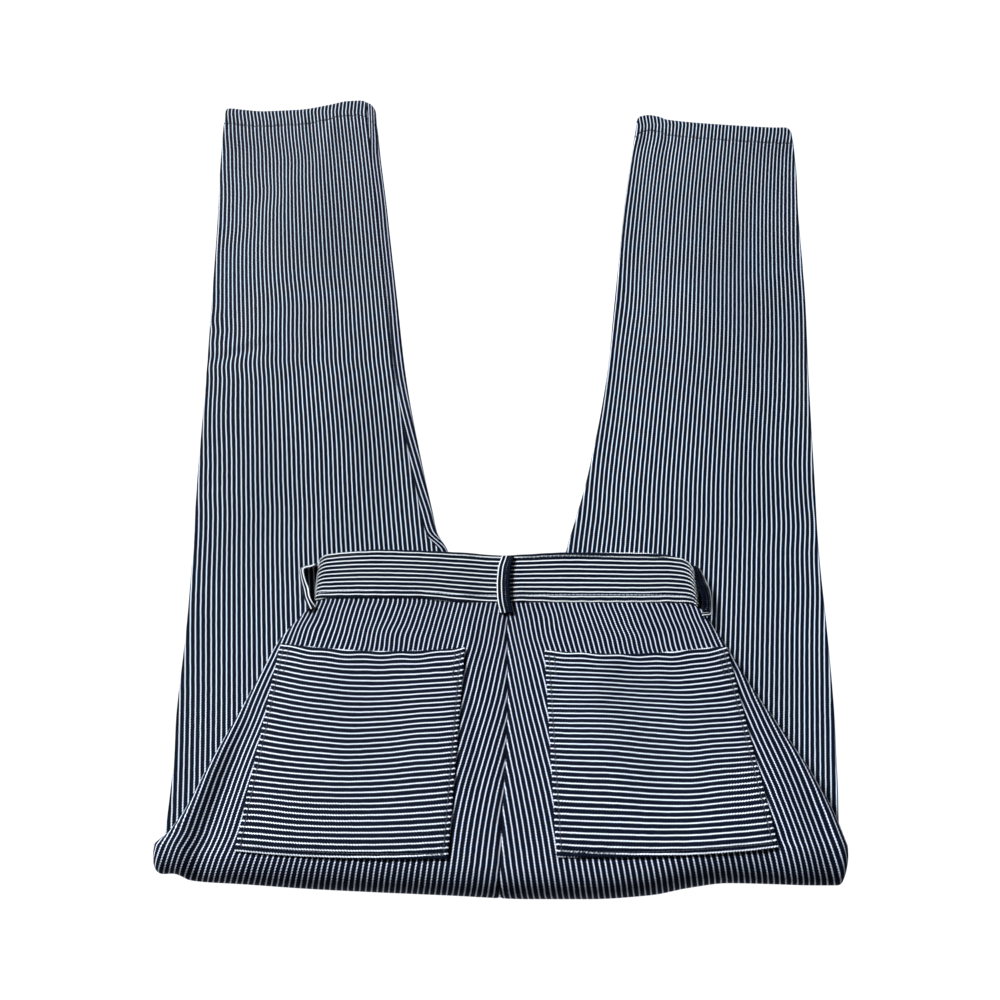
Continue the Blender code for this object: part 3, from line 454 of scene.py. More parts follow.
POCKET_JOGS = {
    "left": rows_of(
        Jog,
        (-0.085, -0.23, 0.03, 0.012, -0.001), (-0.1, -0.23, 0.1, 0.012, -0.0004),
        (-0.107, -0.29, 0.016, 0.03, 0.0009), (-0.06, -0.29, 0.013, 0.03, -0.0008),
        (-0.16, -0.338, 0.018, 0.014, -0.0011),
    ),
    "right": rows_of(
        Jog,
        (0.11, -0.315, 0.3, 0.062, -0.002), (0.133, -0.29, 0.012, 0.04, 0.0009),
        (0.11, -0.225, 0.1, 0.012, 0.0006), (0.08, -0.275, 0.036, 0.034, -0.002),
        (0.096, -0.32, 0.075, 0.055, -0.0007), (0.075, -0.31, 0.022, 0.035, -0.0008),
        (0.152, -0.313, 0.02, 0.05, -0.0009), (0.132, -0.363, 0.035, 0.02, -0.0007),
        (0.107, -0.268, 0.07, 0.016, -0.0006),
    ),
}
POCKET_PITCH = 0.00385
POCKET_RIPPLE = 0.0005  # of the topmost stripes
POCKET_RIPPLE_PITCH = 0.027
POCKET_RIPPLE_DEPTH = 0.010
# The waistband: its free edge, and two white stripes eight pitches apart.
WaistRow = namedtuple("WaistRow", "x edge top bottom")
WAIST_ROWS = rows_of(
    WaistRow,
    (-0.15, -0.153, -0.157, -0.1775), (-0.1432, -0.1448, -0.15, -0.1735),
    (-0.1412, -0.1409, -0.1455, -0.1703), (-0.136, -0.1377, -0.1421, -0.1692),
    (-0.111, -0.1352, -0.1402, -0.169), (-0.099, -0.134, -0.14, -0.1692),
    (-0.061, -0.1352, -0.1413, -0.17), (-0.024, -0.1375, -0.1438, -0.1735),
    (0.002, -0.1396, -0.1454, -0.1748), (0.017, -0.1388, -0.1451, -0.1741),
    (0.054, -0.1368, -0.1438, -0.1749), (0.11, -0.137, -0.1447, -0.1748),
    (0.129, -0.138, -0.1446, -0.1742), (0.142, -0.1413, -0.1458, -0.1746),
    (0.1487, -0.1444, -0.1495, -0.1757), (0.1514, -0.1496, -0.155, -0.179),
    (0.158, -0.156, -0.162, -0.183),
)
WAIST_STRIPES_BETWEEN = 8

# ---------------------------------------------------------------- grid steps
STEP = 0.0030  # along and across the panels
EDGE_STEPS = np.array([0.0, 0.0004, 0.0008, 0.0013, 0.0020, 0.0030])
INNER_STEPS = 12
OUTER_STEPS = 6
FOLD_STEPS = 28
WAIST_COLUMNS = 130
WAIST_END_STEPS = 12
WAIST_INNER_STEPS = np.linspace(0.003, 0.037, 14)[1:-1]
WAIST_STEPS = np.concatenate([EDGE_STEPS, WAIST_INNER_STEPS, WAIST_DEPTH - EDGE_STEPS[::-1]])
SHARP_ANGLE = math.radians(55)
FLAT_MARGIN = 0.0002  # past the inner edge's turn, where the front panel lies flat
LEAST_ANGLE = 1e-4  # of the inner edge as it opens out flat
FACES_UP = 0.1  # the least upward part of a normal on an upper face
FACES_DOWN = -0.5  # and the greatest on a face that rests on the table
LEG_SEAM_SHARE = 0.6  # of the seams' depth, near the crotch
LEAST_SEAM_SHARE = 0.4
BEND_SHARES = np.linspace(1, 0, INNER_STEPS + 1)[:-1]
OUTER_SHARES = np.linspace(0, 1, OUTER_STEPS + 1)[1:]

UP = np.array([0.0, 0.0, 1.0])
DOWN = -UP

Panel = namedtuple("Panel", "points width")  # outer face, and each point's place across the cut


# ---------------------------------------------------------------- shape functions
def smooth_step(low, high, value):
    share = np.clip((np.asarray(value, float) - low) / (high - low), 0, 1)
    return share * share * (3 - 2 * share)


def read(table, column, at, key="y"):
    """A table's column at these values of its key, on a smooth curve through its rows."""
    rows = sorted(table, key=lambda row: getattr(row, key))
    stations = np.array([getattr(row, key) for row in rows])
    values = np.array([getattr(row, column) for row in rows])
    steps = np.diff(values) / np.diff(stations)
    before, after = np.append(steps[0], steps), np.append(steps, steps[-1])
    agree = before * after > 0
    slopes = np.where(agree, 2 * before * after / np.where(agree, before + after, 1), 0.0)
    at = np.clip(at, stations[0], stations[-1])
    i = np.clip(np.searchsorted(stations, at) - 1, 0, len(stations) - 2)
    width = stations[i + 1] - stations[i]
    t = (at - stations[i]) / width
    start = values[i] * (1 + 2 * t) + slopes[i] * width * t
    end = values[i + 1] * (3 - 2 * t) - slopes[i + 1] * width * (1 - t)
    return start * (1 - t) ** 2 + end * t * t


def relief(folds, x, y, fade=FOLD_FADE):
    """Height that ridges and troughs add at points of a plan."""
    total = np.zeros(np.broadcast(x, y).shape)
    for fold in folds:
        ax, ay = fold.x1 - fold.x0, fold.y1 - fold.y0
        length = math.hypot(ax, ay)
        along = ((x - fold.x0) * ax + (y - fold.y0) * ay) / length
        away = ((x - fold.x0) * ay - (y - fold.y0) * ax) / length
        ends = smooth_step(*fade, along) * smooth_step(*fade, length - along)
        total = total + fold.height * ends * np.exp(-((away / fold.half_width) ** 2))
    return total


def jogged(jogs, x, y):
    """How far creases move the stripes at these points, in the direction that the table is for."""
    total = np.zeros(np.broadcast(x, y).shape)
    for jog in jogs:
        total += jog.shift * np.exp(-(((x - jog.x) / jog.half_x) ** 2) - ((y - jog.y) / jog.half_y) ** 2)
    return total


def seat_half_width(x, y):
    return np.where(x < 0, read(SEAT, "left", y), read(SEAT, "right", y))


def seat_height(x, y):
    middle, side = read(SEAT, "middle", y), read(SEAT, "side", y)
    out = np.minimum(1.0, np.abs(x) / seat_half_width(x, y))
    return side + (middle - side) * (1 - out**3) + relief(SEAT_FOLDS, x, y)


def fold_reach(x):
    return FOLD_REACH + FOLD_REACH_RIGHT * smooth_step(*FOLD_OPENS_X, x)


def fold_axis_y(x):
    return read(NEAR_LINE, "y", x, "x") + fold_reach(x)


def leg_edge(y):
    return LEG_EDGE + (HEM_EDGE - LEG_EDGE) * smooth_step(*HEM_PUFF_Y, y)


def leg_middle(y):
    return UNDER_FOLD + (LEG_MIDDLE - UNDER_FOLD) * smooth_step(THIGH_COVERED_Y, THIGH_FREE_Y, y)


def opened(y):
    """0 along the leg, 1 past the crotch, where the inner edge is the centre seam."""
    return 1 - smooth_step(CROTCH_Y, CROTCH_Y + CROTCH_OPENING, y)


def leg_height(leg, x, y):
    outer, inner = read(LEGS[leg], "outer", y), read(LEGS[leg], "inner", y)
    share = np.clip((np.abs(x) - inner) / (outer - inner), 0, 1)
    edge, middle = leg_edge(y), leg_middle(y)
    inner_edge = edge + (middle - edge) * opened(y)
    from_inner = inner_edge + (middle - inner_edge) * smooth_step(0, LEG_CROWN, share)
    from_outer = edge + (middle - edge) * smooth_step(0, LEG_CROWN, 1 - share)
    return np.minimum(from_inner, from_outer)


def floor_y(leg, x, level):
    """A station of the leg, turned to the hem's slant and line and, near the fold, to its bow."""
    hem = HEMS[leg]
    hem_middle = sum(SIDE[leg] * value for value in LEGS[leg][0][1:]) / 2
    slant = hem.slope * (x - hem_middle) * smooth_step(*HEM_SLANT_Y, level)
    line = read(HEM_LINES[leg], "out", x, "x") * smooth_step(*HEM_LINE_Y, level)
    bow = (fold_axis_y(x) - fold_axis_y(0.0)) * smooth_step(CROTCH_Y, fold_axis_y(0.0), level)
    return level + slant + line + bow


def stations(high, low, step, extra=()):
    """Evenly spaced stations from high down to low, and the extra ones."""
    count = max(1, round((high - low) / step))
    return np.array(sorted(set(np.linspace(high, low, count + 1)) | set(extra), reverse=True))


def leg_levels(leg):
    hem_y = HEMS[leg].y
    near_edge = [hem_y - depth for depth in (0.0004, 0.001, 0.002)]
    offsets = (-0.002, -0.001, -0.0005, 0, 0.0005, 0.001, 0.002)
    near_stitch = [hem_y - HEM_STITCH + offset for offset in offsets]
    return stations(hem_y, fold_axis_y(0.0), STEP, near_edge + near_stitch)


def flat_columns(start, end, count):
    """Distances from start to end, closer together at both edges."""
    near = EDGE_STEPS[-1]
    middle = np.linspace(start + near, end - near, count)
    return np.concatenate([start + EDGE_STEPS[:-1], middle, (end - EDGE_STEPS[:-1])[::-1]])


def leg_count(leg):
    widest = LEGS[leg][-1].outer
    return round(widest / STEP)


def outer_bend(end, radius, trim=0.0):
    """Distance, drop and place across the cut of an outer edge that turns down a quarter turn."""
    arc = (radius * math.pi / 2 - trim) * OUTER_SHARES
    return end + radius * np.sin(arc / radius), radius * (1 - np.cos(arc / radius)), end + arc


def inseam_shift(leg, level):
    """How far the inner seam lies round from the middle of the leg's inner edge, and on the top."""
    if not INSEAM_SHIFT[leg]:
        return 0.0
    quarter = leg_edge(level) / 2 * math.pi / 2
    return quarter * smooth_step(*INSEAM_TURNS_Y, level) + INSEAM_SHIFT[leg] * smooth_step(
        *INSEAM_SHIFTS_Y, level
    )


def inner_edge(leg, level, face):
    """Columns of a panel's inner edge at a station: distance, height over or under, place across.

    face is "back" or "front". Past the crotch the edge opens out flat into the centre seam.
    """
    radius = leg_edge(level) / 2
    inner = read(LEGS[leg], "inner", level)
    closed = 1 - opened(level)
    quarter = radius * math.pi / 2
    if closed < 1:
        angle = max(math.pi / 2 * closed, LEAST_ANGLE)
        bow = quarter / angle
        start = inner + bow * math.sin(angle)
        trim = GAP * closed if face == "front" else 0.0
        arc = (quarter - trim) * BEND_SHARES
        return start - bow * np.sin(arc / bow), bow * (1 - np.cos(arc / bow)), start - arc, start
    start = inner + radius
    seam = quarter + inseam_shift(leg, level)
    if face == "back":
        arc = seam * BEND_SHARES
        turned = np.minimum(arc, 2 * quarter)
        distance = start - radius * np.sin(turned / radius) + (arc - turned)
        rise = radius * (1 - np.cos(turned / radius))
        over = leg_height(leg, distance, level) - 2 * radius
        return distance, rise + np.where(arc > turned, over, 0.0), start - arc, start
    top = max(seam + GAP, 2 * quarter) + FLAT_MARGIN
    arc = top + (seam + GAP - top) * BEND_SHARES
    turned = np.minimum(arc, 2 * quarter)
    distance = start - radius * np.sin(turned / radius) + (arc - turned)
    drop = radius * (1 + np.cos(turned / radius))
    flat_start = start + top - 2 * quarter
    return distance, drop, distance, flat_start


def leg_row(leg, level, face):
    """One row of a leg panel: distances from the middle, drops, and places across the cut."""
    radius = leg_edge(level) / 2
    distance, drop, place, start = inner_edge(leg, level, face)
    end = read(LEGS[leg], "outer", level) - radius
    flat = flat_columns(start, end, leg_count(leg))
    out, out_drop, out_place = outer_bend(end, radius, GAP if face == "front" else 0.0)
    return (
        np.concatenate([distance, flat, out]),
        np.concatenate([drop, np.zeros(len(flat)), out_drop]),
        np.concatenate([place, flat, out_place]),
    )


def side_rounding(y):
    share = smooth_step(SEAT_Y, SEAT[-1].y, y)
    return SIDE_ROUNDING_WAIST + (SIDE_ROUNDING_FOLD - SIDE_ROUNDING_WAIST) * share


def seat_row(leg, y, share_up, recess=0.0):
    """One row of a back panel on the fold (share_up 0 to 1) and on the seat (1)."""
    floor_outer = read(LEGS[leg], "outer", y)
    outer = floor_outer + (read(SEAT, leg, y) - floor_outer) * share_up - recess
    radius = LEG_EDGE / 2 + (side_rounding(y) - LEG_EDGE / 2) * share_up
    quarter = LEG_EDGE / 2 * math.pi / 2
    seam_strip = GAP / 2 + quarter * (1 - BEND_SHARES)
    end = outer - radius
    flat = flat_columns(GAP / 2 + quarter, end, leg_count(leg))
    out, out_drop, out_place = outer_bend(end, radius)
    return (
        np.concatenate([seam_strip, flat, out]),
        np.concatenate([np.zeros(len(seam_strip) + len(flat)), out_drop]),
        np.concatenate([seam_strip, flat, out_place]),
    )


def seam_y(x):
    return read(SEAM, "y", x, "x")


def seam_drift(x, y):
    """How far the centre seam, and the cloth beside it, lie towards +X."""
    near = np.clip(1 - np.abs(x) / SEAM_DRIFT_REACH, 0, 1) ** 2
    return SEAM_DRIFT * smooth_step(*SEAM_DRIFT_Y, y) * near


def front_panel(leg):
    rows, places = [], []
    for level in leg_levels(leg):
        distance, drop, place = leg_row(leg, level, "front")
        x = SIDE[leg] * distance
        y = floor_y(leg, x, level)
        z = leg_height(leg, x, level) + HEM_LIFT * smooth_step(*HEM_PUFF_Y, level) - drop
        rows.append(np.stack([x, y, z], axis=1))
        places.append(SIDE[leg] * place)
    points = np.array(rows)
    points[-1, :, 1] += FRONT_TUCK
    return Panel(points, np.array(places))


def back_panel(leg):
    """Under the leg, round the fold and up the seat."""
    side = SIDE[leg]
    rows, places = [], []
    for level in leg_levels(leg):
        distance, drop, place = leg_row(leg, level, "back")
        x = side * distance
        rows.append(np.stack([x, floor_y(leg, x, level), drop], axis=1))
        places.append(side * place)
    fold_y = fold_axis_y(0.0)
    for step in range(1, FOLD_STEPS + 1):
        turn = math.pi * step / FOLD_STEPS
        recess = CORNER_RECESS[leg] * math.sin(turn) ** 2
        distance, drop, place = seat_row(leg, fold_y, smooth_step(0, math.pi, turn), recess)
        x = side * distance
        axis_y = fold_axis_y(x)
        half = seat_height(x, axis_y) / 2
        y = axis_y - (fold_reach(x) - drop) * math.sin(turn)
        rows.append(np.stack([x, y, half - (half - drop) * math.cos(turn)], axis=1))
        places.append(side * place)
    seat_levels = stations(fold_y, SEAT_Y, -STEP)[::-1]
    for level in sorted(seat_levels)[1:]:
        share = (level - fold_y) / (SEAT_Y - fold_y)
        distance, drop, place = seat_row(leg, level, 1.0)
        x = side * distance
        axis_y = fold_axis_y(x)
        y = axis_y + (seam_y(x) - axis_y) * share
        z = seat_height(x, y) - drop + relief(SEAT_CREASES, x, y, CREASE_FADE)
        drift = seam_drift(x, y)
        rows.append(np.stack([x + drift, y, z], axis=1))
        places.append(side * place + drift)
    return Panel(np.array(rows), np.array(places))


# ---------------------------------------------------------------- walls of cloth
def face_normals(points, outward, around=False):
    """Unit normals of a grid of points, on the side where outward points at its middle."""
    grid = np.concatenate([points[-1:], points, points[:1]]) if around else points
    found = np.cross(np.gradient(grid, axis=1), np.gradient(grid, axis=0))
    found /= np.maximum(np.linalg.norm(found, axis=2, keepdims=True), 1e-12)
    middle = found[len(grid) // 4, grid.shape[1] // 2]
    if np.dot(middle, outward) < 0:
        found = -found
    return found[1:-1] if around else found


def run_lengths(points):
    """Each point's distance from the first row, along the surface."""
    steps = np.linalg.norm(np.diff(points, axis=0), axis=2)
    return np.concatenate([np.zeros((1, points.shape[1])), np.cumsum(steps, axis=0)])


def wall(name, points, thickness, outward, across, along, finish, seam=None, around=False):
    """A closed wall of cloth below an outer face, with stripe coordinates across and along."""
    normals = face_normals(points, outward, around)
    if seam is not None:
        normals[:, 0, 0] *= 1 - seam
        normals[:, 0] /= np.linalg.norm(normals[:, 0], axis=1, keepdims=True)
    layers = np.broadcast_to(np.reshape(thickness, (-1, 1, 1)), (len(points), 1, 1))
    inner = points - normals * layers
    rows, columns = points.shape[:2]
    corners = np.concatenate([points.reshape(-1, 3), inner.reshape(-1, 3)]) + SHIFT
    index = np.arange(rows * columns).reshape(rows, columns)
    under = index + rows * columns
    next_row = np.roll(index, -1, axis=0) if around else index[1:]
    this_row = index if around else index[:-1]
    next_under = np.roll(under, -1, axis=0) if around else under[1:]
    this_under = under if around else under[:-1]

    def quads(a, b, c, d):
        return np.stack([part.ravel() for part in (a, b, c, d)], axis=1)

    faces = [
        quads(this_row[:, :-1], this_row[:, 1:], next_row[:, 1:], next_row[:, :-1]),
        quads(this_under[:, :-1], next_under[:, :-1], next_under[:, 1:], this_under[:, 1:]),
        quads(this_row[:, 0], next_row[:, 0], next_under[:, 0], this_under[:, 0]),
        quads(this_row[:, -1], this_under[:, -1], next_under[:, -1], next_row[:, -1]),
    ]
    if not around:
        faces += [
            quads(index[0, :-1], under[0, :-1], under[0, 1:], index[0, 1:]),
            quads(index[-1, :-1], index[-1, 1:], under[-1, 1:], under[-1, :-1]),
        ]
    mesh = bpy.data.meshes.new(name)
    mesh.from_pydata(corners.tolist(), [], np.concatenate(faces).tolist())
    stripes = np.stack([np.tile(across.ravel(), 2), np.tile(along.ravel(), 2)], axis=1)
    add_cloth_uv(mesh, stripes)
    return finished(name, mesh, finish)


def add_cloth_uv(mesh, stripes):
    layer = mesh.uv_layers.new(name="cloth")
    corner_points = np.zeros(len(mesh.loops), np.int32)
    mesh.loops.foreach_get("vertex_index", corner_points)
    layer.data.foreach_set("uv", stripes[corner_points].astype(np.float32).ravel())


def finished(name, mesh, finish):
    """An object of this mesh, with outward faces, smooth shading and its material."""
    shape = bmesh.new()
    shape.from_mesh(mesh)
    bmesh.ops.recalc_face_normals(shape, faces=shape.faces)
    shape.to_mesh(mesh)
    shape.free()
    mesh.shade_smooth()
    mesh.set_sharp_from_angle(angle=SHARP_ANGLE)
    mesh.materials.append(finish)
    made = bpy.data.objects.new(name, mesh)
    bpy.context.scene.collection.objects.link(made)
    return made


def groove(distance, half_width):
    return np.exp(-((distance / half_width) ** 2))


def grooved(distance, dip):
    """Relief of a soft groove at this distance from its middle."""
    return -dip.depth * groove(distance, dip.width)


def rolled(distance, dip):
    """Relief of an edge that rounds off, at this distance from it."""
    return -dip.depth * np.exp(-distance / dip.width)


def puckered(run, distance, pucker):
    """Relief of the puckers along a row of sewing, at this run along it and distance from it."""
    phase = 2 * math.pi * (run / pucker.pitch + pucker.drift * np.sin(run / pucker.drift_length))
    return pucker.height * np.sin(phase) * groove(distance, pucker.reach)


# ---------------------------------------------------------------- leg and seat panels
def hem_form(leg, panel):
    """Outward relief of a panel's leg rows: the hem's rolled edge, its stitched groove, puckers."""
    levels = leg_levels(leg)
    depth = (HEMS[leg].y - levels)[:, None]
    x = panel.points[: len(levels), :, 0]
    from_stitch = depth - HEM_STITCH
    edge, stitched = rolled(depth, HEM_ROLL), grooved(from_stitch, HEM_GROOVE)
    return edge + stitched + puckered(x, from_stitch, HEM_PUCKER)


def edge_grooves(panel, inner_seam):
    """Small dips along a panel's seams."""
    across = np.linalg.norm(np.diff(panel.points, axis=1), axis=2)
    from_inner = np.concatenate([np.zeros((len(across), 1)), np.cumsum(across, axis=1)], axis=1)
    from_outer = from_inner[:, -1:] - from_inner
    return grooved(from_inner, SEAM_GROOVE) * inner_seam + grooved(from_outer, SEAM_GROOVE)


def build_front(leg, finish):
    panel = front_panel(leg)
    levels = leg_levels(leg)
    normals = face_normals(panel.points, UP)
    x, y = panel.points[..., 0], panel.points[..., 1]
    out = relief(LEG_CREASES[leg], x, y, CREASE_FADE) + edge_grooves(panel, 1.0)
    out += hem_form(leg, panel)
    points = panel.points + normals * (out * (normals[..., 2] > FACES_UP))[..., None]
    line = read(LEG_STRIPES[leg], "x", y) + jogged(LEG_JOGS[leg], x, y)
    across = (panel.width - line) / LEG_PITCHES[leg] * PITCH
    thickness = np.where(levels > HEMS[leg].y - HEM_DEPTH, BAND, CLOTH)
    seam = opened(levels)
    piece = wall(f"cloth_front_{leg}", points, thickness, UP, across, run_lengths(points), finish, seam)
    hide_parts(f"front_{leg}")
    declare(piece)
    return panel, points


def back_stripes(leg, panel):
    """Stripe coordinate of a back panel: on the seat, round the fold, and under the leg."""
    first_seat_row = len(leg_levels(leg)) + FOLD_STEPS
    x, y = panel.points[..., 0], panel.points[..., 1]
    line, pitch = read(SEAT_STRIPES, leg, y), read(SEAT_STRIPES, "pitch", y)
    by_side = smooth_step(*SEAT_SIDES_X, np.abs(x))
    by_edge = np.exp(-(((seat_half_width(x, y) - np.abs(x)) / SEAT_EDGE_REACH) ** 2))
    outwards = by_side * read(SEAT_SIDES, leg, y) + by_edge * read(SEAT_EDGES, leg, y)
    line += jogged(SEAT_JOGS[leg], x, y) + SIDE[leg] * outwards
    lengths = run_lengths(panel.points)
    below = slice(0, first_seat_row)
    before = lengths[first_seat_row] - lengths[below]
    line[below] = line[first_seat_row] + LEG_LEANS[leg] * before
    fold_lean = FOLD_LEANS[leg] * smooth_step(*FOLD_LEANS_X, np.abs(x[below]))
    line[below] += fold_lean * np.minimum(before, FOLD_LEANS_RUN)
    pitch[below] = pitch[first_seat_row]
    return (panel.width * SIDE[leg] - line) / pitch * PITCH


def build_back(leg, finish):
    panel = back_panel(leg)
    levels = leg_levels(leg)
    rows = len(panel.points)
    normals = face_normals(panel.points, DOWN)
    x, y = panel.points[..., 0], panel.points[..., 1]
    inner_seam = np.concatenate([opened(levels) * LEG_SEAM_SHARE, np.ones(rows - len(levels))])[:, None]
    out = edge_grooves(panel, np.maximum(inner_seam, LEAST_SEAM_SHARE))
    out[: len(levels)] += hem_form(leg, panel)
    resting = normals[..., 2] < FACES_DOWN
    out += relief(UNDER_CREASES[leg], x, y, CREASE_FADE) * resting
    out = np.where(resting, np.minimum(out, 0.0), out)
    points = panel.points + normals * out[..., None]
    points[..., 2] = np.maximum(points[..., 2], 0.0)
    thickness = np.concatenate(
        [np.where(levels > HEMS[leg].y - HEM_DEPTH, BAND, CLOTH), np.full(rows - len(levels), CLOTH)]
    )
    seam = np.concatenate([opened(levels), np.ones(rows - len(levels))])
    across = back_stripes(leg, panel)
    along = run_lengths(points)
    piece = wall(f"cloth_back_{leg}", points, thickness, DOWN, across, along, finish, seam)
    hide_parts(f"back_{leg}")
    declare(piece)
    return panel, points


def declare(piece):
    """The piece rides on the one body."""
    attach(piece, "root")


# ---------------------------------------------------------------- waistband
def waist_height(x, y):
    return seat_height(x, np.minimum(y, SEAT_Y)) + WAIST_PROUD


def waist_edge_y(x):
    return read(WAIST_ROWS, "edge", x, "x")


def waistband_panel():
    """Outer face: over the back, round the right end, under, and round the left end."""
    flat = np.linspace(*WAIST_FLAT_X, WAIST_COLUMNS)
    over = np.stack([flat, waist_height(flat, SEAT_Y)], axis=1)
    turns = np.radians(np.linspace(0, 180, WAIST_END_STEPS + 2)[1:-1])
    ends = {}
    for side, corner in ((-1, over[0]), (1, over[-1])):
        radius = (corner[1] - FRONT_RISE_BASE) / 2
        ends[side] = np.stack(
            [corner[0] + side * radius * np.sin(turns), corner[1] - radius * (1 - np.cos(turns))], axis=1
        )
    under = np.stack([flat[::-1], np.full(len(flat), FRONT_RISE_BASE)], axis=1)
    ring = np.concatenate([over, ends[1], under, ends[-1][::-1]])
    depth = WAIST_STEPS / WAIST_DEPTH
    x = ring[:, :1]
    low, high = seam_y(np.clip(x, *WAIST_FLAT_X)) + WAIST_GAP, waist_edge_y(x)
    y = low + (high - low) * depth
    grid = np.stack([np.broadcast_to(x, y.shape), y, np.broadcast_to(ring[:, 1:], y.shape)], axis=2)
    run = np.concatenate([[0], np.cumsum(np.linalg.norm(np.diff(ring, axis=0), axis=1))])
    return grid, np.broadcast_to(run[:, None], y.shape), depth


def waist_stripes(points):
    """Stripe coordinate up the waistband."""
    x, y = points[..., 0], points[..., 1]
    top, bottom = read(WAIST_ROWS, "top", x, "x"), read(WAIST_ROWS, "bottom", x, "x")
    return (top - y) / (top - bottom) * WAIST_STRIPES_BETWEEN * PITCH


def build_waistband(finish):
    points, run, depth = waistband_panel()
    normals = face_normals(points, UP, around=True)
    across = waist_stripes(points)
    from_seam = (depth * WAIST_DEPTH)[None, :]
    from_edge = WAIST_DEPTH - from_seam
    out = grooved(from_seam - WAIST_PALE_STITCH, WAIST_SEAM_GROOVE)
    out = out + grooved(from_edge - WAIST_STITCH, WAIST_GROOVE)
    out = out + rolled(from_edge, WAIST_ROLL) + rolled(from_seam, WAIST_SEAM_ROLL)
    out = out + puckered(run, from_seam, WAIST_SEAM_PUCKER) + puckered(run, from_edge, WAIST_EDGE_PUCKER)
    top = points[..., 2] > FRONT_RISE_BASE + WAIST_TOP_MARGIN
    points = points + normals * np.where(top, out, out * WAIST_UNDER_SHARE)[..., None]
    points[..., 2] = np.maximum(points[..., 2], FRONT_RISE_BASE)
    piece = wall("cloth_waistband", points, BAND, UP, across, run, finish, around=True)
    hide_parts("waistband")
    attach(piece, "root")
    return points, depth


# ---------------------------------------------------------------- pockets
def pocket_point(leg, out, down):
    """Points of a patch pocket's outer face, at shares outwards and downwards."""
    corner = {name: np.array(value) for name, value in POCKETS[leg]._asdict().items()}
    out, down = np.broadcast_arrays(np.asarray(out, float), np.asarray(down, float))
    inner = corner["top_in"] + (corner["bottom_in"] - corner["top_in"]) * down[..., None]
    outer = corner["top_out"] + (corner["bottom_out"] - corner["top_out"]) * down[..., None]
    plan = inner + (outer - inner) * out[..., None]
    x = plan[..., 0]
    y = plan[..., 1] - POCKET_SAG * np.sin(math.pi * out) * (1 - 0.5 * down)
    gape = np.sin(math.pi * out) * np.exp(-down / POCKET_MOUTH_DEPTH)
    z = seat_height(x, y) + 2 * GAP + CLOTH + POCKET_MOUTH_PROUD * gape
    return np.stack([x, y, z], axis=-1)


def pocket_stripes(leg, points):
    x, y = points[..., 0], points[..., 1]
    table, pocket = POCKET_STRIPES[leg], POCKETS[leg]
    middle = read(table, "middle", y)
    side = SIDE[leg]
    out_edge, in_edge = pocket.top_out[0] + side * 0.004, pocket.top_in[0]
    outwards = np.clip((x - middle) / (out_edge - middle), 0, None) ** 2 * read(table, "out", y)
    inwards = np.clip((x - middle) / (in_edge - middle), 0, None) ** 2 * read(table, "inn", y)
    rise = np.where((x - middle) * side > 0, outwards, inwards)
    lowest = y - rise
    mouth = table[0].y
    near_mouth = np.exp(-np.clip(mouth - lowest, 0, None) / POCKET_RIPPLE_DEPTH)
    ripple = POCKET_RIPPLE * np.sin(2 * math.pi * x / POCKET_RIPPLE_PITCH) * near_mouth
    down = jogged(POCKET_JOGS[leg], x, y)
    return (mouth - lowest + ripple - down) / POCKET_PITCH * PITCH


def pocket_steps(length):
    """Shares along one side of a pocket, closer together at its edges and stitches."""
    fine = np.concatenate([EDGE_STEPS, [0.0036, 0.0044]])
    count = round((length - 0.010) / 0.002)
    middle = np.linspace(0.0052, length - 0.0052, count)
    return np.concatenate([fine, middle, length - fine[::-1]]) / length


def build_pocket(leg, finish):
    out, down = pocket_steps(POCKET_WIDTH)[None, :], pocket_steps(POCKET_HEIGHT)[:, None]
    points = pocket_point(leg, out, down)
    normals = face_normals(points, UP)
    from_mouth, from_inner_side = down * POCKET_HEIGHT, out * POCKET_WIDTH
    from_side = np.minimum(out, 1 - out) * POCKET_WIDTH
    from_bottom = (1 - down) * POCKET_HEIGHT
    from_sewn_edge = np.minimum(from_side, from_bottom)
    form = grooved(from_sewn_edge - POCKET_STITCH, POCKET_GROOVE) + rolled(from_sewn_edge, POCKET_ROLL)
    form = form + rolled(from_mouth, POCKET_MOUTH_ROLL)
    side_run = from_mouth + out * POCKET_SIDES_DIFFER
    form = form + puckered(side_run, from_side - POCKET_STITCH, POCKET_SIDE_PUCKER)
    form = form + puckered(from_inner_side, from_bottom - POCKET_STITCH, POCKET_BOTTOM_PUCKER)
    form = form + relief(POCKET_CREASES[leg], points[..., 0], points[..., 1], CREASE_FADE)
    points = points + normals * form[..., None]
    across = pocket_stripes(leg, points)
    along = np.broadcast_to(from_inner_side, points.shape[:2])
    piece = wall(f"cloth_pocket_{leg}", points, CLOTH, UP, across, along, finish)
    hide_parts(f"pocket_{leg}")
    declare(piece)
    return points


# ---------------------------------------------------------------- belt loops
LOOP_OFFSETS = np.linspace(0, 1, 41)
LOOP_ROWS = 60
# A strap's white stripes lie by one edge, pitch apart, and the rest of it is plain but for a row of
# pale specks. The right strap's outer stripe also goes round its lower end.
LoopStripes = namedtuple("LoopStripes", "edge first pitch plain_from specks round_end")
LOOP_STRIPES = {
    "belt_loop_back": LoopStripes(0, 0.0006, 0.0032, 0.0050, 0.0067, 0.0),
    "belt_loop_left": LoopStripes(0, 0.0007, 0.0046, 0.0066, 0.0090, 0.0),
    "belt_loop_right": LoopStripes(1, 0.0010, 0.0042, 0.0030, 0.0056, 0.0036),
}
SPECKS_WIDTH = 0.0005
SPECKS_SHARE = 0.31  # of a pitch, towards the white
PLAIN_PLACE = 1.46  # in pitches: the middle of the navy


def round_corner(one, other, radius):
    """Distance from two edges that meet in a corner of this radius."""
    inside = np.hypot(np.maximum(radius - one, 0), np.maximum(radius - other, 0))
    return np.where((one < radius) & (other < radius), radius - inside, np.minimum(one, other))


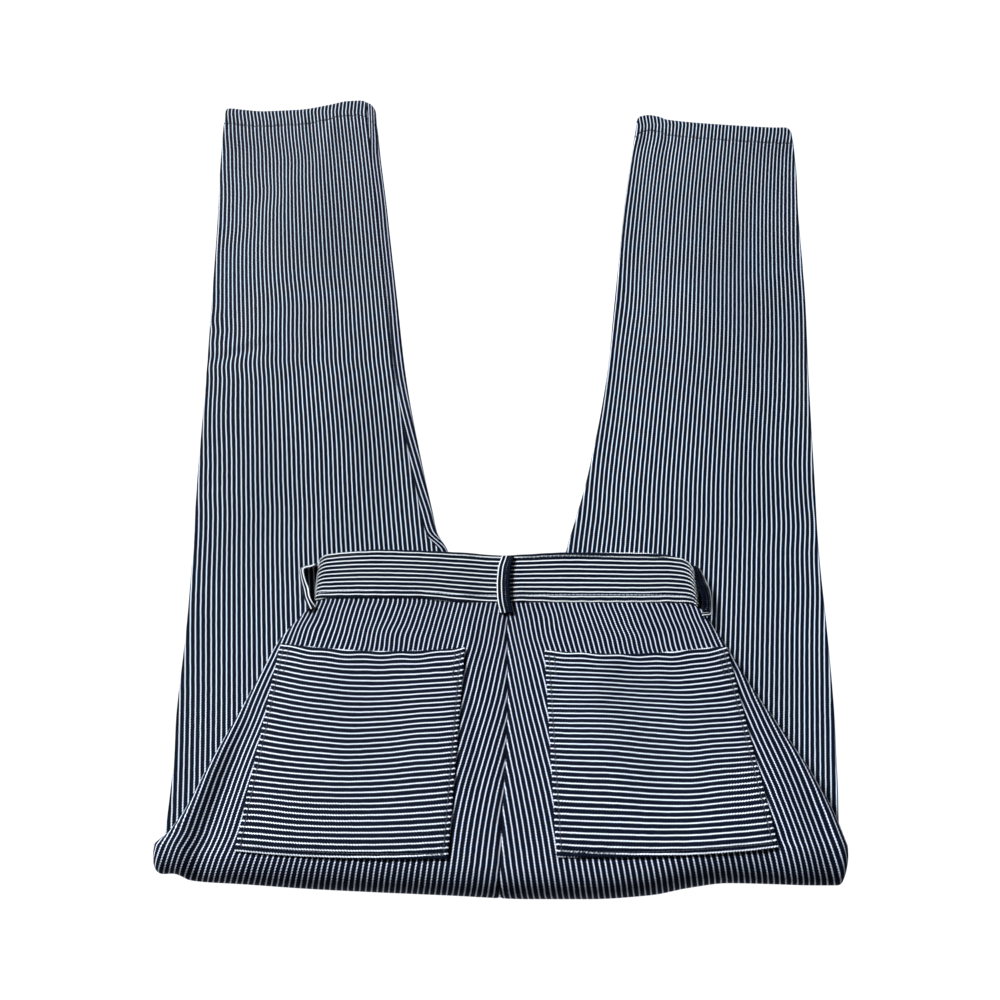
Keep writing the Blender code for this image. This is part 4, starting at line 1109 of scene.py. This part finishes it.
def loop_stripes(name, from_edge, from_end):
    """Stripe coordinate of a strap at these distances from its striped edge and its lower end."""
    lines = LOOP_STRIPES[name]
    if lines.round_end:
        from_edge = round_corner(from_edge, from_end, lines.round_end)
    striped = (from_edge - lines.first) / lines.pitch
    plain = PLAIN_PLACE - SPECKS_SHARE * groove(from_edge - lines.specks, SPECKS_WIDTH)
    return np.where(from_edge < lines.plain_from, striped, plain) * PITCH


def build_loop(name, points, finish):
    normals = face_normals(points, UP)
    from_side = np.minimum(LOOP_OFFSETS, 1 - LOOP_OFFSETS) * LOOP_WIDTH
    points = points + normals * rolled(from_side, LOOP_ROLL)[None, :, None]
    from_edge = np.abs(LOOP_OFFSETS - LOOP_STRIPES[name].edge) * LOOP_WIDTH
    run = run_lengths(points)
    across = loop_stripes(name, np.broadcast_to(from_edge, points.shape[:2]), run)
    piece = wall(f"cloth_{name}", points, STRAP, UP, across, run, finish)
    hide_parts(name)
    declare(piece)
    return points


def back_loop_points():
    rows = []
    edge_y = float(waist_edge_y(0.006)) - LOOP_EDGE_SETBACK
    for share in np.linspace(0, 1, LOOP_ROWS):
        y = LOOP_BACK_END_Y + (edge_y - LOOP_BACK_END_Y) * share
        on_band = smooth_step(LOOP_BACK_END_Y, SEAT_Y - 2 * GAP, y)
        lift = WAIST_PROUD * on_band + LOOP_BACK_BOW * math.sin(math.pi * share)
        x = read(BACK_LOOP, "x", y) + LOOP_WIDTH * LOOP_OFFSETS
        z = seat_height(x, min(y, SEAT_Y)) + 1.5 * GAP + STRAP + lift
        rows.append(np.stack([x, np.full(len(x), y), z], axis=1))
    return np.array(rows)


def side_loop_points(leg):
    table = SIDE_LOOPS[leg]
    run = np.linspace(table[0].run, table[-1].run, LOOP_ROWS)
    near = np.stack([read(table, f"in_{axis}", run, "run") for axis in "xyz"], axis=1)
    far = np.stack([read(table, f"out_{axis}", run, "run") for axis in "xyz"], axis=1)
    return near[:, None] + (far - near)[:, None] * LOOP_OFFSETS[None, :, None]


# ---------------------------------------------------------------- sewing
STITCH_PITCH = 0.0032
STITCH_LENGTH = 0.0028
THREAD = 0.00036  # radius
STITCH_SIDES = 6
STITCH_RINGS = [(-0.5, 0.25), (-0.38, 0.85), (0.0, 1.0), (0.38, 0.85), (0.5, 0.25)]  # place, fullness
STITCH_ARCH = 0.6  # of the thread's radius, at the stitch's middle
STITCH_LIFT = 0.0001  # above or into the cloth, as each row lies
STITCH_SUNK = 0.0003  # under the legs, clear of the table


def resample(line, pitch):
    """Middles and directions of stitches laid along a line of points."""
    line = np.asarray(line, float)
    steps = np.linalg.norm(np.diff(line, axis=0), axis=1)
    lengths = np.concatenate([[0], np.cumsum(steps)])
    count = max(1, int(lengths[-1] / pitch))
    places = (np.arange(count) + 0.5) * lengths[-1] / count
    middles = np.stack([np.interp(places, lengths, line[:, k]) for k in range(3)], axis=1)
    ahead = np.stack([np.interp(places + pitch / 4, lengths, line[:, k]) for k in range(3)], axis=1)
    behind = np.stack([np.interp(places - pitch / 4, lengths, line[:, k]) for k in range(3)], axis=1)
    directions = ahead - behind
    return middles, directions / np.linalg.norm(directions, axis=1, keepdims=True)


def add_stitches(shape, line, outward, lift=0.0):
    """Adds a thread capsule for each stitch along a line to a bmesh."""
    middles, directions = resample(line, STITCH_PITCH)
    turns = np.linspace(0, 2 * math.pi, STITCH_SIDES, endpoint=False)
    for middle, ahead in zip(middles + SHIFT, directions):
        over = outward - ahead * np.dot(outward, ahead)
        over /= np.linalg.norm(over)
        beside = np.cross(ahead, over)
        loops = []
        for place, fullness in STITCH_RINGS:
            arch = over * (lift + THREAD * STITCH_ARCH * (1 - (2 * place) ** 2))
            centre = middle + ahead * place * STITCH_LENGTH + arch
            radials = [over * math.sin(turn) + beside * math.cos(turn) for turn in turns]
            loops.append([shape.verts.new(centre + THREAD * fullness * radial) for radial in radials])
        for one, two in zip(loops, loops[1:]):
            for i in range(STITCH_SIDES):
                j = (i + 1) % STITCH_SIDES
                shape.faces.new((one[i], one[j], two[j], two[i]))
        shape.faces.new(loops[0][::-1])
        shape.faces.new(loops[-1])


def sewing(name, lines, finish):
    """One piece of sewing: lines of stitches as (points, outward, lift)."""
    shape = bmesh.new()
    for line, outward, lift in lines:
        add_stitches(shape, line, outward, lift)
    mesh = bpy.data.meshes.new(name)
    shape.to_mesh(mesh)
    shape.free()
    piece = finished(name, mesh, finish)
    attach(piece, "root")
    return piece


def hem_sewing(leg, front, back, thread):
    row = int(np.argmin(np.abs(leg_levels(leg) - (HEMS[leg].y - HEM_STITCH))))
    lines = [(front[row, 2:-2], UP, 0.0), (back[row, 2:-2], DOWN, -STITCH_SUNK)]
    sewing(f"stitches_hem_{leg}", lines, thread)


def pocket_sewing(leg, thread):
    inset, top = POCKET_STITCH / POCKET_WIDTH, POCKET_STITCH / POCKET_HEIGHT
    low = 1 - top
    steps = np.linspace(0, 1, 60)
    down = top + (low - top) * steps
    sides = [pocket_point(leg, share, down) for share in (inset, 1 - inset)]
    bottom = pocket_point(leg, inset + (1 - 2 * inset) * steps, low)
    tack = POCKET_TACK / POCKET_WIDTH
    short = top + POCKET_TACK_LENGTH / POCKET_HEIGHT * steps
    tacks = [pocket_point(leg, share, short) for share in (tack, 1 - tack)]
    lines = [(line, UP, -STITCH_LIFT) for line in sides + [bottom]]
    lines += [(line, UP, STITCH_LIFT) for line in tacks]
    sewing(f"stitches_pocket_{leg}", lines, thread)


def waist_sewing(points, depth, thread, pale_thread):
    over = slice(0, WAIST_COLUMNS)
    under = slice(WAIST_COLUMNS + WAIST_END_STEPS, 2 * WAIST_COLUMNS + WAIST_END_STEPS)
    low = int(np.argmin(np.abs(depth * WAIST_DEPTH - WAIST_PALE_STITCH)))
    high = int(np.argmin(np.abs(WAIST_DEPTH - depth * WAIST_DEPTH - WAIST_STITCH)))
    dark = [(points[over, high], UP, 0.0), (points[under, high], DOWN, -STITCH_LIFT)]
    sewing("stitches_waist_edge", dark, thread)
    pale = [(points[over, low], UP, -STITCH_LIFT), (points[under, low], DOWN, -STITCH_LIFT)]
    sewing("stitches_waist_seam", pale, pale_thread)


# ---------------------------------------------------------------- materials
class Shader:
    """One material's node tree, with short calls to add nodes and join them."""

    def __init__(self, name, **fixed):
        self.material = bpy.data.materials.new(name)
        self.material.use_nodes = True
        self.tree = self.material.node_tree
        self.surface = self.tree.nodes["Principled BSDF"]
        for socket, value in fixed.items():
            self.surface.inputs[socket.replace("_", " ")].default_value = value

    def node(self, kind, **settings):
        made = self.tree.nodes.new(kind)
        for key, value in settings.items():
            setattr(made, key, value)
        return made

    def put(self, socket, value):
        if isinstance(value, bpy.types.NodeSocket):
            self.tree.links.new(value, socket)
        else:
            socket.default_value = value

    def math(self, operation, *values):
        made = self.node("ShaderNodeMath", operation=operation)
        for socket, value in zip(made.inputs, values):
            self.put(socket, value)
        return made.outputs[0]

    def ramp(self, value, low, high, to_low=0.0, to_high=1.0):
        made = self.node("ShaderNodeMapRange", interpolation_type="SMOOTHSTEP")
        for socket, given in zip(made.inputs, (value, low, high, to_low, to_high)):
            self.put(socket, given)
        return made.outputs[0]

    def mix(self, share, one, two, blend="MIX"):
        made = self.node("ShaderNodeMix", data_type="RGBA", blend_type=blend)
        self.put(made.inputs["Factor"], share)
        self.put(made.inputs[6], one)
        self.put(made.inputs[7], two)
        return made.outputs[2]

    def noise(self, scale, detail=2.0, vector=None, roughness=0.5):
        made = self.node("ShaderNodeTexNoise")
        made.inputs["Scale"].default_value = scale
        made.inputs["Detail"].default_value = detail
        made.inputs["Roughness"].default_value = roughness
        self.put(made.inputs["Vector"], vector or self.place())
        return made.outputs["Fac"]

    def place(self):
        return self.node("ShaderNodeTexCoord").outputs["Object"]

    def bump(self, height, distance):
        made = self.node("ShaderNodeBump")
        made.inputs["Distance"].default_value = distance
        made.inputs["Strength"].default_value = 1.0
        self.put(made.inputs["Height"], height)
        self.put(self.surface.inputs["Normal"], made.outputs["Normal"])


NAVY = (0.0005, 0.0018, 0.0066, 1)
NAVY_WEFT = (0.0024, 0.0066, 0.0180, 1)
WHITE = (0.95, 0.985, 1.0, 1)
WHITE_WEFT = (0.40, 0.50, 0.68, 1)
WHITE_SHARE = 0.20  # of the pitch, before the teeth
SERRATION = 0.00060  # how far the twill's teeth reach into a white stripe
# One cloth, tinted panel by panel until each one's tone comes near the photo's in this light.
# These tints are painted light and shade: lit and shaded copies of one cloth, the back panel darkest and
# the trim lightest.
FRONT_LIGHT_SHADE_TINT = (0.79, 0.85, 0.94)
BACK_PAINTED_SHADE_TINT = (0.70, 0.73, 0.84)
POCKET_PAINTED_LIGHT_TINT = (0.93, 0.94, 1.0)
TRIM_PAINTED_LIGHT_TINT = (1.0, 1.0, 1.0)
TWILL = 0.0019  # along the stripes
TWILL_CROSS = 0.0026  # and across them
WEAVE_BUMP = 0.00016
STRANDS = 2600  # noise scale of a thread's strands
STRANDS_BUMP = 0.00008
NAVY_THREAD = (0.003, 0.006, 0.014, 1), (0.016, 0.024, 0.045, 1)
PALE_THREAD = (0.22, 0.27, 0.36, 1), (0.50, 0.57, 0.68, 1)
DENIM_ROUGHNESS = (0.82, 0.92)  # of the navy and of the white
# Painted shade over the hidden rise: its layers are at most this bright.
LAYERS_SHADE = 0.75
EDGE_SOFTNESS = 0.00012
YARN_DRIFT = 0.00025


def stripe_nodes(shader, across, along):
    """Colour and height of hickory-striped twill from stripe coordinates in metres."""
    drift = shader.math("SUBTRACT", shader.noise(170, 3), 0.5)
    across = shader.math("MULTIPLY_ADD", drift, YARN_DRIFT * 2, across)
    index = shader.math("DIVIDE", across, PITCH)
    from_line = shader.math("PINGPONG", index, 0.5)
    distance = shader.math("MULTIPLY", from_line, PITCH)
    ahead, aside = shader.math("DIVIDE", along, TWILL), shader.math("DIVIDE", across, TWILL_CROSS)
    tooth = shader.math("PINGPONG", shader.math("ADD", ahead, aside), 0.5)
    tooth = shader.math("MULTIPLY", tooth, 2.0)
    edge = shader.math("MULTIPLY_ADD", tooth, SERRATION, WHITE_SHARE * PITCH / 2 - SERRATION / 2)
    high = shader.math("ADD", edge, EDGE_SOFTNESS)
    low = shader.math("SUBTRACT", edge, EDGE_SOFTNESS)
    white = shader.math("SUBTRACT", 1.0, shader.ramp(distance, low, high))
    speckle = shader.noise(900, 3, roughness=0.7)
    weft = shader.ramp(shader.math("MULTIPLY_ADD", speckle, 0.5, tooth), 0.45, 1.25)
    navy = shader.mix(shader.math("SUBTRACT", 1.0, weft), NAVY_WEFT, NAVY)
    light = shader.mix(shader.math("MULTIPLY", weft, 0.55), WHITE, WHITE_WEFT)
    colour = shader.mix(white, navy, light)
    blotch = shader.ramp(shader.noise(7, 4, roughness=0.6), 0.3, 0.7, 0.90, 1.04)
    tone = shader.node("ShaderNodeCombineColor")
    for socket in tone.inputs:
        shader.put(socket, blotch)
    colour = shader.mix(1.0, colour, tone.outputs[0], "MULTIPLY")
    height = shader.math("ADD", tooth, shader.math("MULTIPLY", speckle, 0.6))
    return colour, height, white


def striped_denim(name, light_shade_tint):
    shader = Shader(name, Specular_IOR_Level=0.05)
    cloth = shader.node("ShaderNodeUVMap", uv_map="cloth")
    split = shader.node("ShaderNodeSeparateXYZ")
    shader.put(split.inputs[0], cloth.outputs[0])
    colour, height, white = stripe_nodes(shader, split.outputs["X"], split.outputs["Y"])
    # Painted light and shade: the panel's tint makes this copy of the one cloth lighter or darker.
    colour = shader.mix(1.0, colour, (*light_shade_tint, 1), "MULTIPLY")
    shader.put(shader.surface.inputs["Base Color"], colour)
    shader.put(shader.surface.inputs["Roughness"], shader.ramp(white, 0.0, 1.0, *DENIM_ROUGHNESS))
    shader.bump(height, WEAVE_BUMP)
    return shader.material


def denim_layers(light_shade_tint):
    """The hidden rise: the same cloth, its stripes from its own place, in stacked layers."""
    shader = Shader("denim_layers", Specular_IOR_Level=0.05)
    split = shader.node("ShaderNodeSeparateXYZ")
    shader.put(split.inputs[0], shader.place())
    colour, height, white = stripe_nodes(shader, split.outputs["X"], split.outputs["Y"])
    # Painted light and shade: the front panel's tint, as on the legs.
    colour = shader.mix(1.0, colour, (*light_shade_tint, 1), "MULTIPLY")
    # Painted shade: darkest where the stacked layers meet, and no brighter than LAYERS_SHADE over the
    # whole rise.
    layers = shader.math("PINGPONG", shader.math("DIVIDE", split.outputs["Z"], CLOTH), 0.5)
    shade = shader.ramp(layers, 0.0, 0.35, 0.35, 1.0)
    shade = shader.math("MULTIPLY", shade, LAYERS_SHADE)
    tone = shader.node("ShaderNodeCombineColor")
    for socket in tone.inputs:
        shader.put(socket, shade)
    shader.put(shader.surface.inputs["Base Color"], shader.mix(1.0, colour, tone.outputs[0], "MULTIPLY"))
    shader.put(shader.surface.inputs["Roughness"], shader.ramp(white, 0.0, 1.0, *DENIM_ROUGHNESS))
    shader.bump(shader.math("ADD", height, shader.math("MULTIPLY", layers, 4.0)), WEAVE_BUMP)
    return shader.material


def thread_material(name, dark, light):
    shader = Shader(name, Sheen_Weight=0.1, Specular_IOR_Level=0.3)
    strands = shader.noise(STRANDS, 2)
    colour = shader.mix(strands, dark, light)
    shader.put(shader.surface.inputs["Base Color"], colour)
    shader.put(shader.surface.inputs["Roughness"], shader.ramp(strands, 0.0, 1.0, 0.55, 0.8))
    shader.bump(strands, STRANDS_BUMP)
    return shader.material


def brass_material():
    shader = Shader("worn_brass", Metallic=1.0)
    patina = shader.ramp(shader.noise(420, 5, roughness=0.65), 0.35, 0.7)
    colour = shader.mix(patina, (0.50, 0.37, 0.17, 1), (0.24, 0.17, 0.09, 1))
    shader.put(shader.surface.inputs["Base Color"], colour)
    shader.put(shader.surface.inputs["Roughness"], shader.ramp(patina, 0.0, 1.0, 0.28, 0.55))
    shader.bump(patina, 0.00005)
    return shader.material


def floor_material():
    shader = Shader("pale_floor", Roughness=0.9, Specular_IOR_Level=0.1)
    cloud = shader.noise(3, 3)
    colour = shader.mix(cloud, (0.90, 0.90, 0.90, 1), (0.93, 0.93, 0.93, 1))
    shader.put(shader.surface.inputs["Base Color"], colour)
    shader.bump(shader.noise(300, 2), 0.00002)
    return shader.material


# ---------------------------------------------------------------- camera, floor and light
CAMERA_TILT = math.radians(60.5)  # below the horizon
CAMERA_PLACE = np.array([0.0, -0.476, 0.6956])
FOCAL_PIXELS = 968.0
PICTURE_PIXELS = 1000
SENSOR = 36.0
BACKDROP_TONE = (0.90, 0.91, 0.92, 1)
BACKDROP_RADIUS = 5.0
FLOOR_HALF = 6.0
Sun = namedtuple("Sun", "strength degrees_wide azimuth elevation")
KEY_SUN = Sun(9.5, 20, 46, 30)
FLOOR_SUN = Sun(3.4, 60, 0, 80)
SKY_TONE = (0.97, 0.985, 1.0, 1)
SKY_STRENGTH = 0.12


def add_camera():
    data = bpy.data.cameras.new("camera")
    data.sensor_width = SENSOR
    data.lens = SENSOR * FOCAL_PIXELS / PICTURE_PIXELS
    camera = bpy.data.objects.new("camera", data)
    camera.location = CAMERA_PLACE + SHIFT
    camera.rotation_euler = (math.pi / 2 - CAMERA_TILT, 0, 0)
    bpy.context.scene.collection.objects.link(camera)
    bpy.context.scene.camera = camera


def add_floor():
    mesh = bpy.data.meshes.new("floor")
    shape = bmesh.new()
    bmesh.ops.create_grid(shape, x_segments=4, y_segments=4, size=FLOOR_HALF)
    shape.to_mesh(mesh)
    shape.free()
    mesh.materials.append(floor_material())
    floor = bpy.data.objects.new("floor", mesh)
    floor.location.z = -0.0002
    bpy.context.scene.collection.objects.link(floor)
    return floor


def add_backdrop():
    """A pale dome that the camera alone sees, beyond the floor's edge."""
    shader = Shader("pale_backdrop", Roughness=1.0, Specular_IOR_Level=0.0, Emission_Strength=1.0)
    shader.surface.inputs["Base Color"].default_value = (0.0, 0.0, 0.0, 1)
    shader.surface.inputs["Emission Color"].default_value = BACKDROP_TONE
    mesh = bpy.data.meshes.new("backdrop")
    shape = bmesh.new()
    bmesh.ops.create_uvsphere(shape, u_segments=48, v_segments=24, radius=BACKDROP_RADIUS)
    shape.to_mesh(mesh)
    shape.free()
    mesh.materials.append(shader.material)
    dome = bpy.data.objects.new("backdrop", mesh)
    for rays in ("diffuse", "glossy", "transmission", "volume_scatter", "shadow"):
        setattr(dome, f"visible_{rays}", False)
    bpy.context.scene.collection.objects.link(dome)


def add_sun(name, sun):
    """A distant soft light, its azimuth in degrees from +Y towards -X and its elevation too."""
    data = bpy.data.lights.new(name, "SUN")
    data.energy = sun.strength
    data.angle = math.radians(sun.degrees_wide)
    turn, rise = math.radians(sun.azimuth), math.radians(sun.elevation)
    towards = Vector((-math.sin(turn) * math.cos(rise), math.cos(turn) * math.cos(rise), math.sin(rise)))
    light = bpy.data.objects.new(name, data)
    light.location = towards * 3
    light.rotation_euler = towards.to_track_quat("Z", "Y").to_euler()
    bpy.context.scene.collection.objects.link(light)
    return light


def add_studio(floor):
    """Key light on the garment from behind, a light of its own for the floor, and a soft sky.

    The floor takes no shadow, as in the photo: each light reaches only what it is for.
    """
    world = bpy.data.worlds.new("studio")
    world.use_nodes = True
    back = world.node_tree.nodes["Background"]
    back.inputs["Color"].default_value = SKY_TONE
    back.inputs["Strength"].default_value = SKY_STRENGTH
    bpy.context.scene.world = world
    key = add_sun("key", KEY_SUN)
    fill = add_sun("floor_light", FLOOR_SUN)
    on_floor, on_garment = bpy.data.collections.new("floor_lit"), bpy.data.collections.new("garment_lit")
    on_floor.objects.link(floor)
    for item in bpy.context.scene.objects:
        if item.type == "MESH" and item != floor:
            on_garment.objects.link(item)
    key.light_linking.receiver_collection = on_garment
    fill.light_linking.receiver_collection = on_floor
    fill.light_linking.blocker_collection = on_floor
    bpy.context.scene.view_settings.view_transform = "Standard"


# ---------------------------------------------------------------- the whole
def main():
    # Lit and shaded copies of one cloth: painted light and shade, panel by panel.
    denim = striped_denim("striped_denim", FRONT_LIGHT_SHADE_TINT)
    seat = striped_denim("striped_denim_seat", BACK_PAINTED_SHADE_TINT)
    pocket = striped_denim("striped_denim_pocket", POCKET_PAINTED_LIGHT_TINT)
    trim = striped_denim("striped_denim_trim", TRIM_PAINTED_LIGHT_TINT)
    thread = thread_material("navy_thread", *NAVY_THREAD)
    pale = thread_material("pale_thread", *PALE_THREAD)
    floor = add_floor()
    add_backdrop()
    for leg in SIDE:
        _, back = build_back(leg, seat)
        _, front = build_front(leg, denim)
        hem_sewing(leg, front, back, thread)
        build_pocket(leg, pocket)
        pocket_sewing(leg, thread)
    band, depth = build_waistband(trim)
    waist_sewing(band, depth, thread, pale)
    build_loop("belt_loop_back", back_loop_points(), trim)
    for leg in SIDE:
        build_loop(f"belt_loop_{leg}", side_loop_points(leg), trim)
    frame["nodes"]["front_rise"].material_slots[0].material = denim_layers(FRONT_LIGHT_SHADE_TINT)
    frame["nodes"]["waist_button"].material_slots[0].material = brass_material()
    add_camera()
    add_studio(floor)


main()
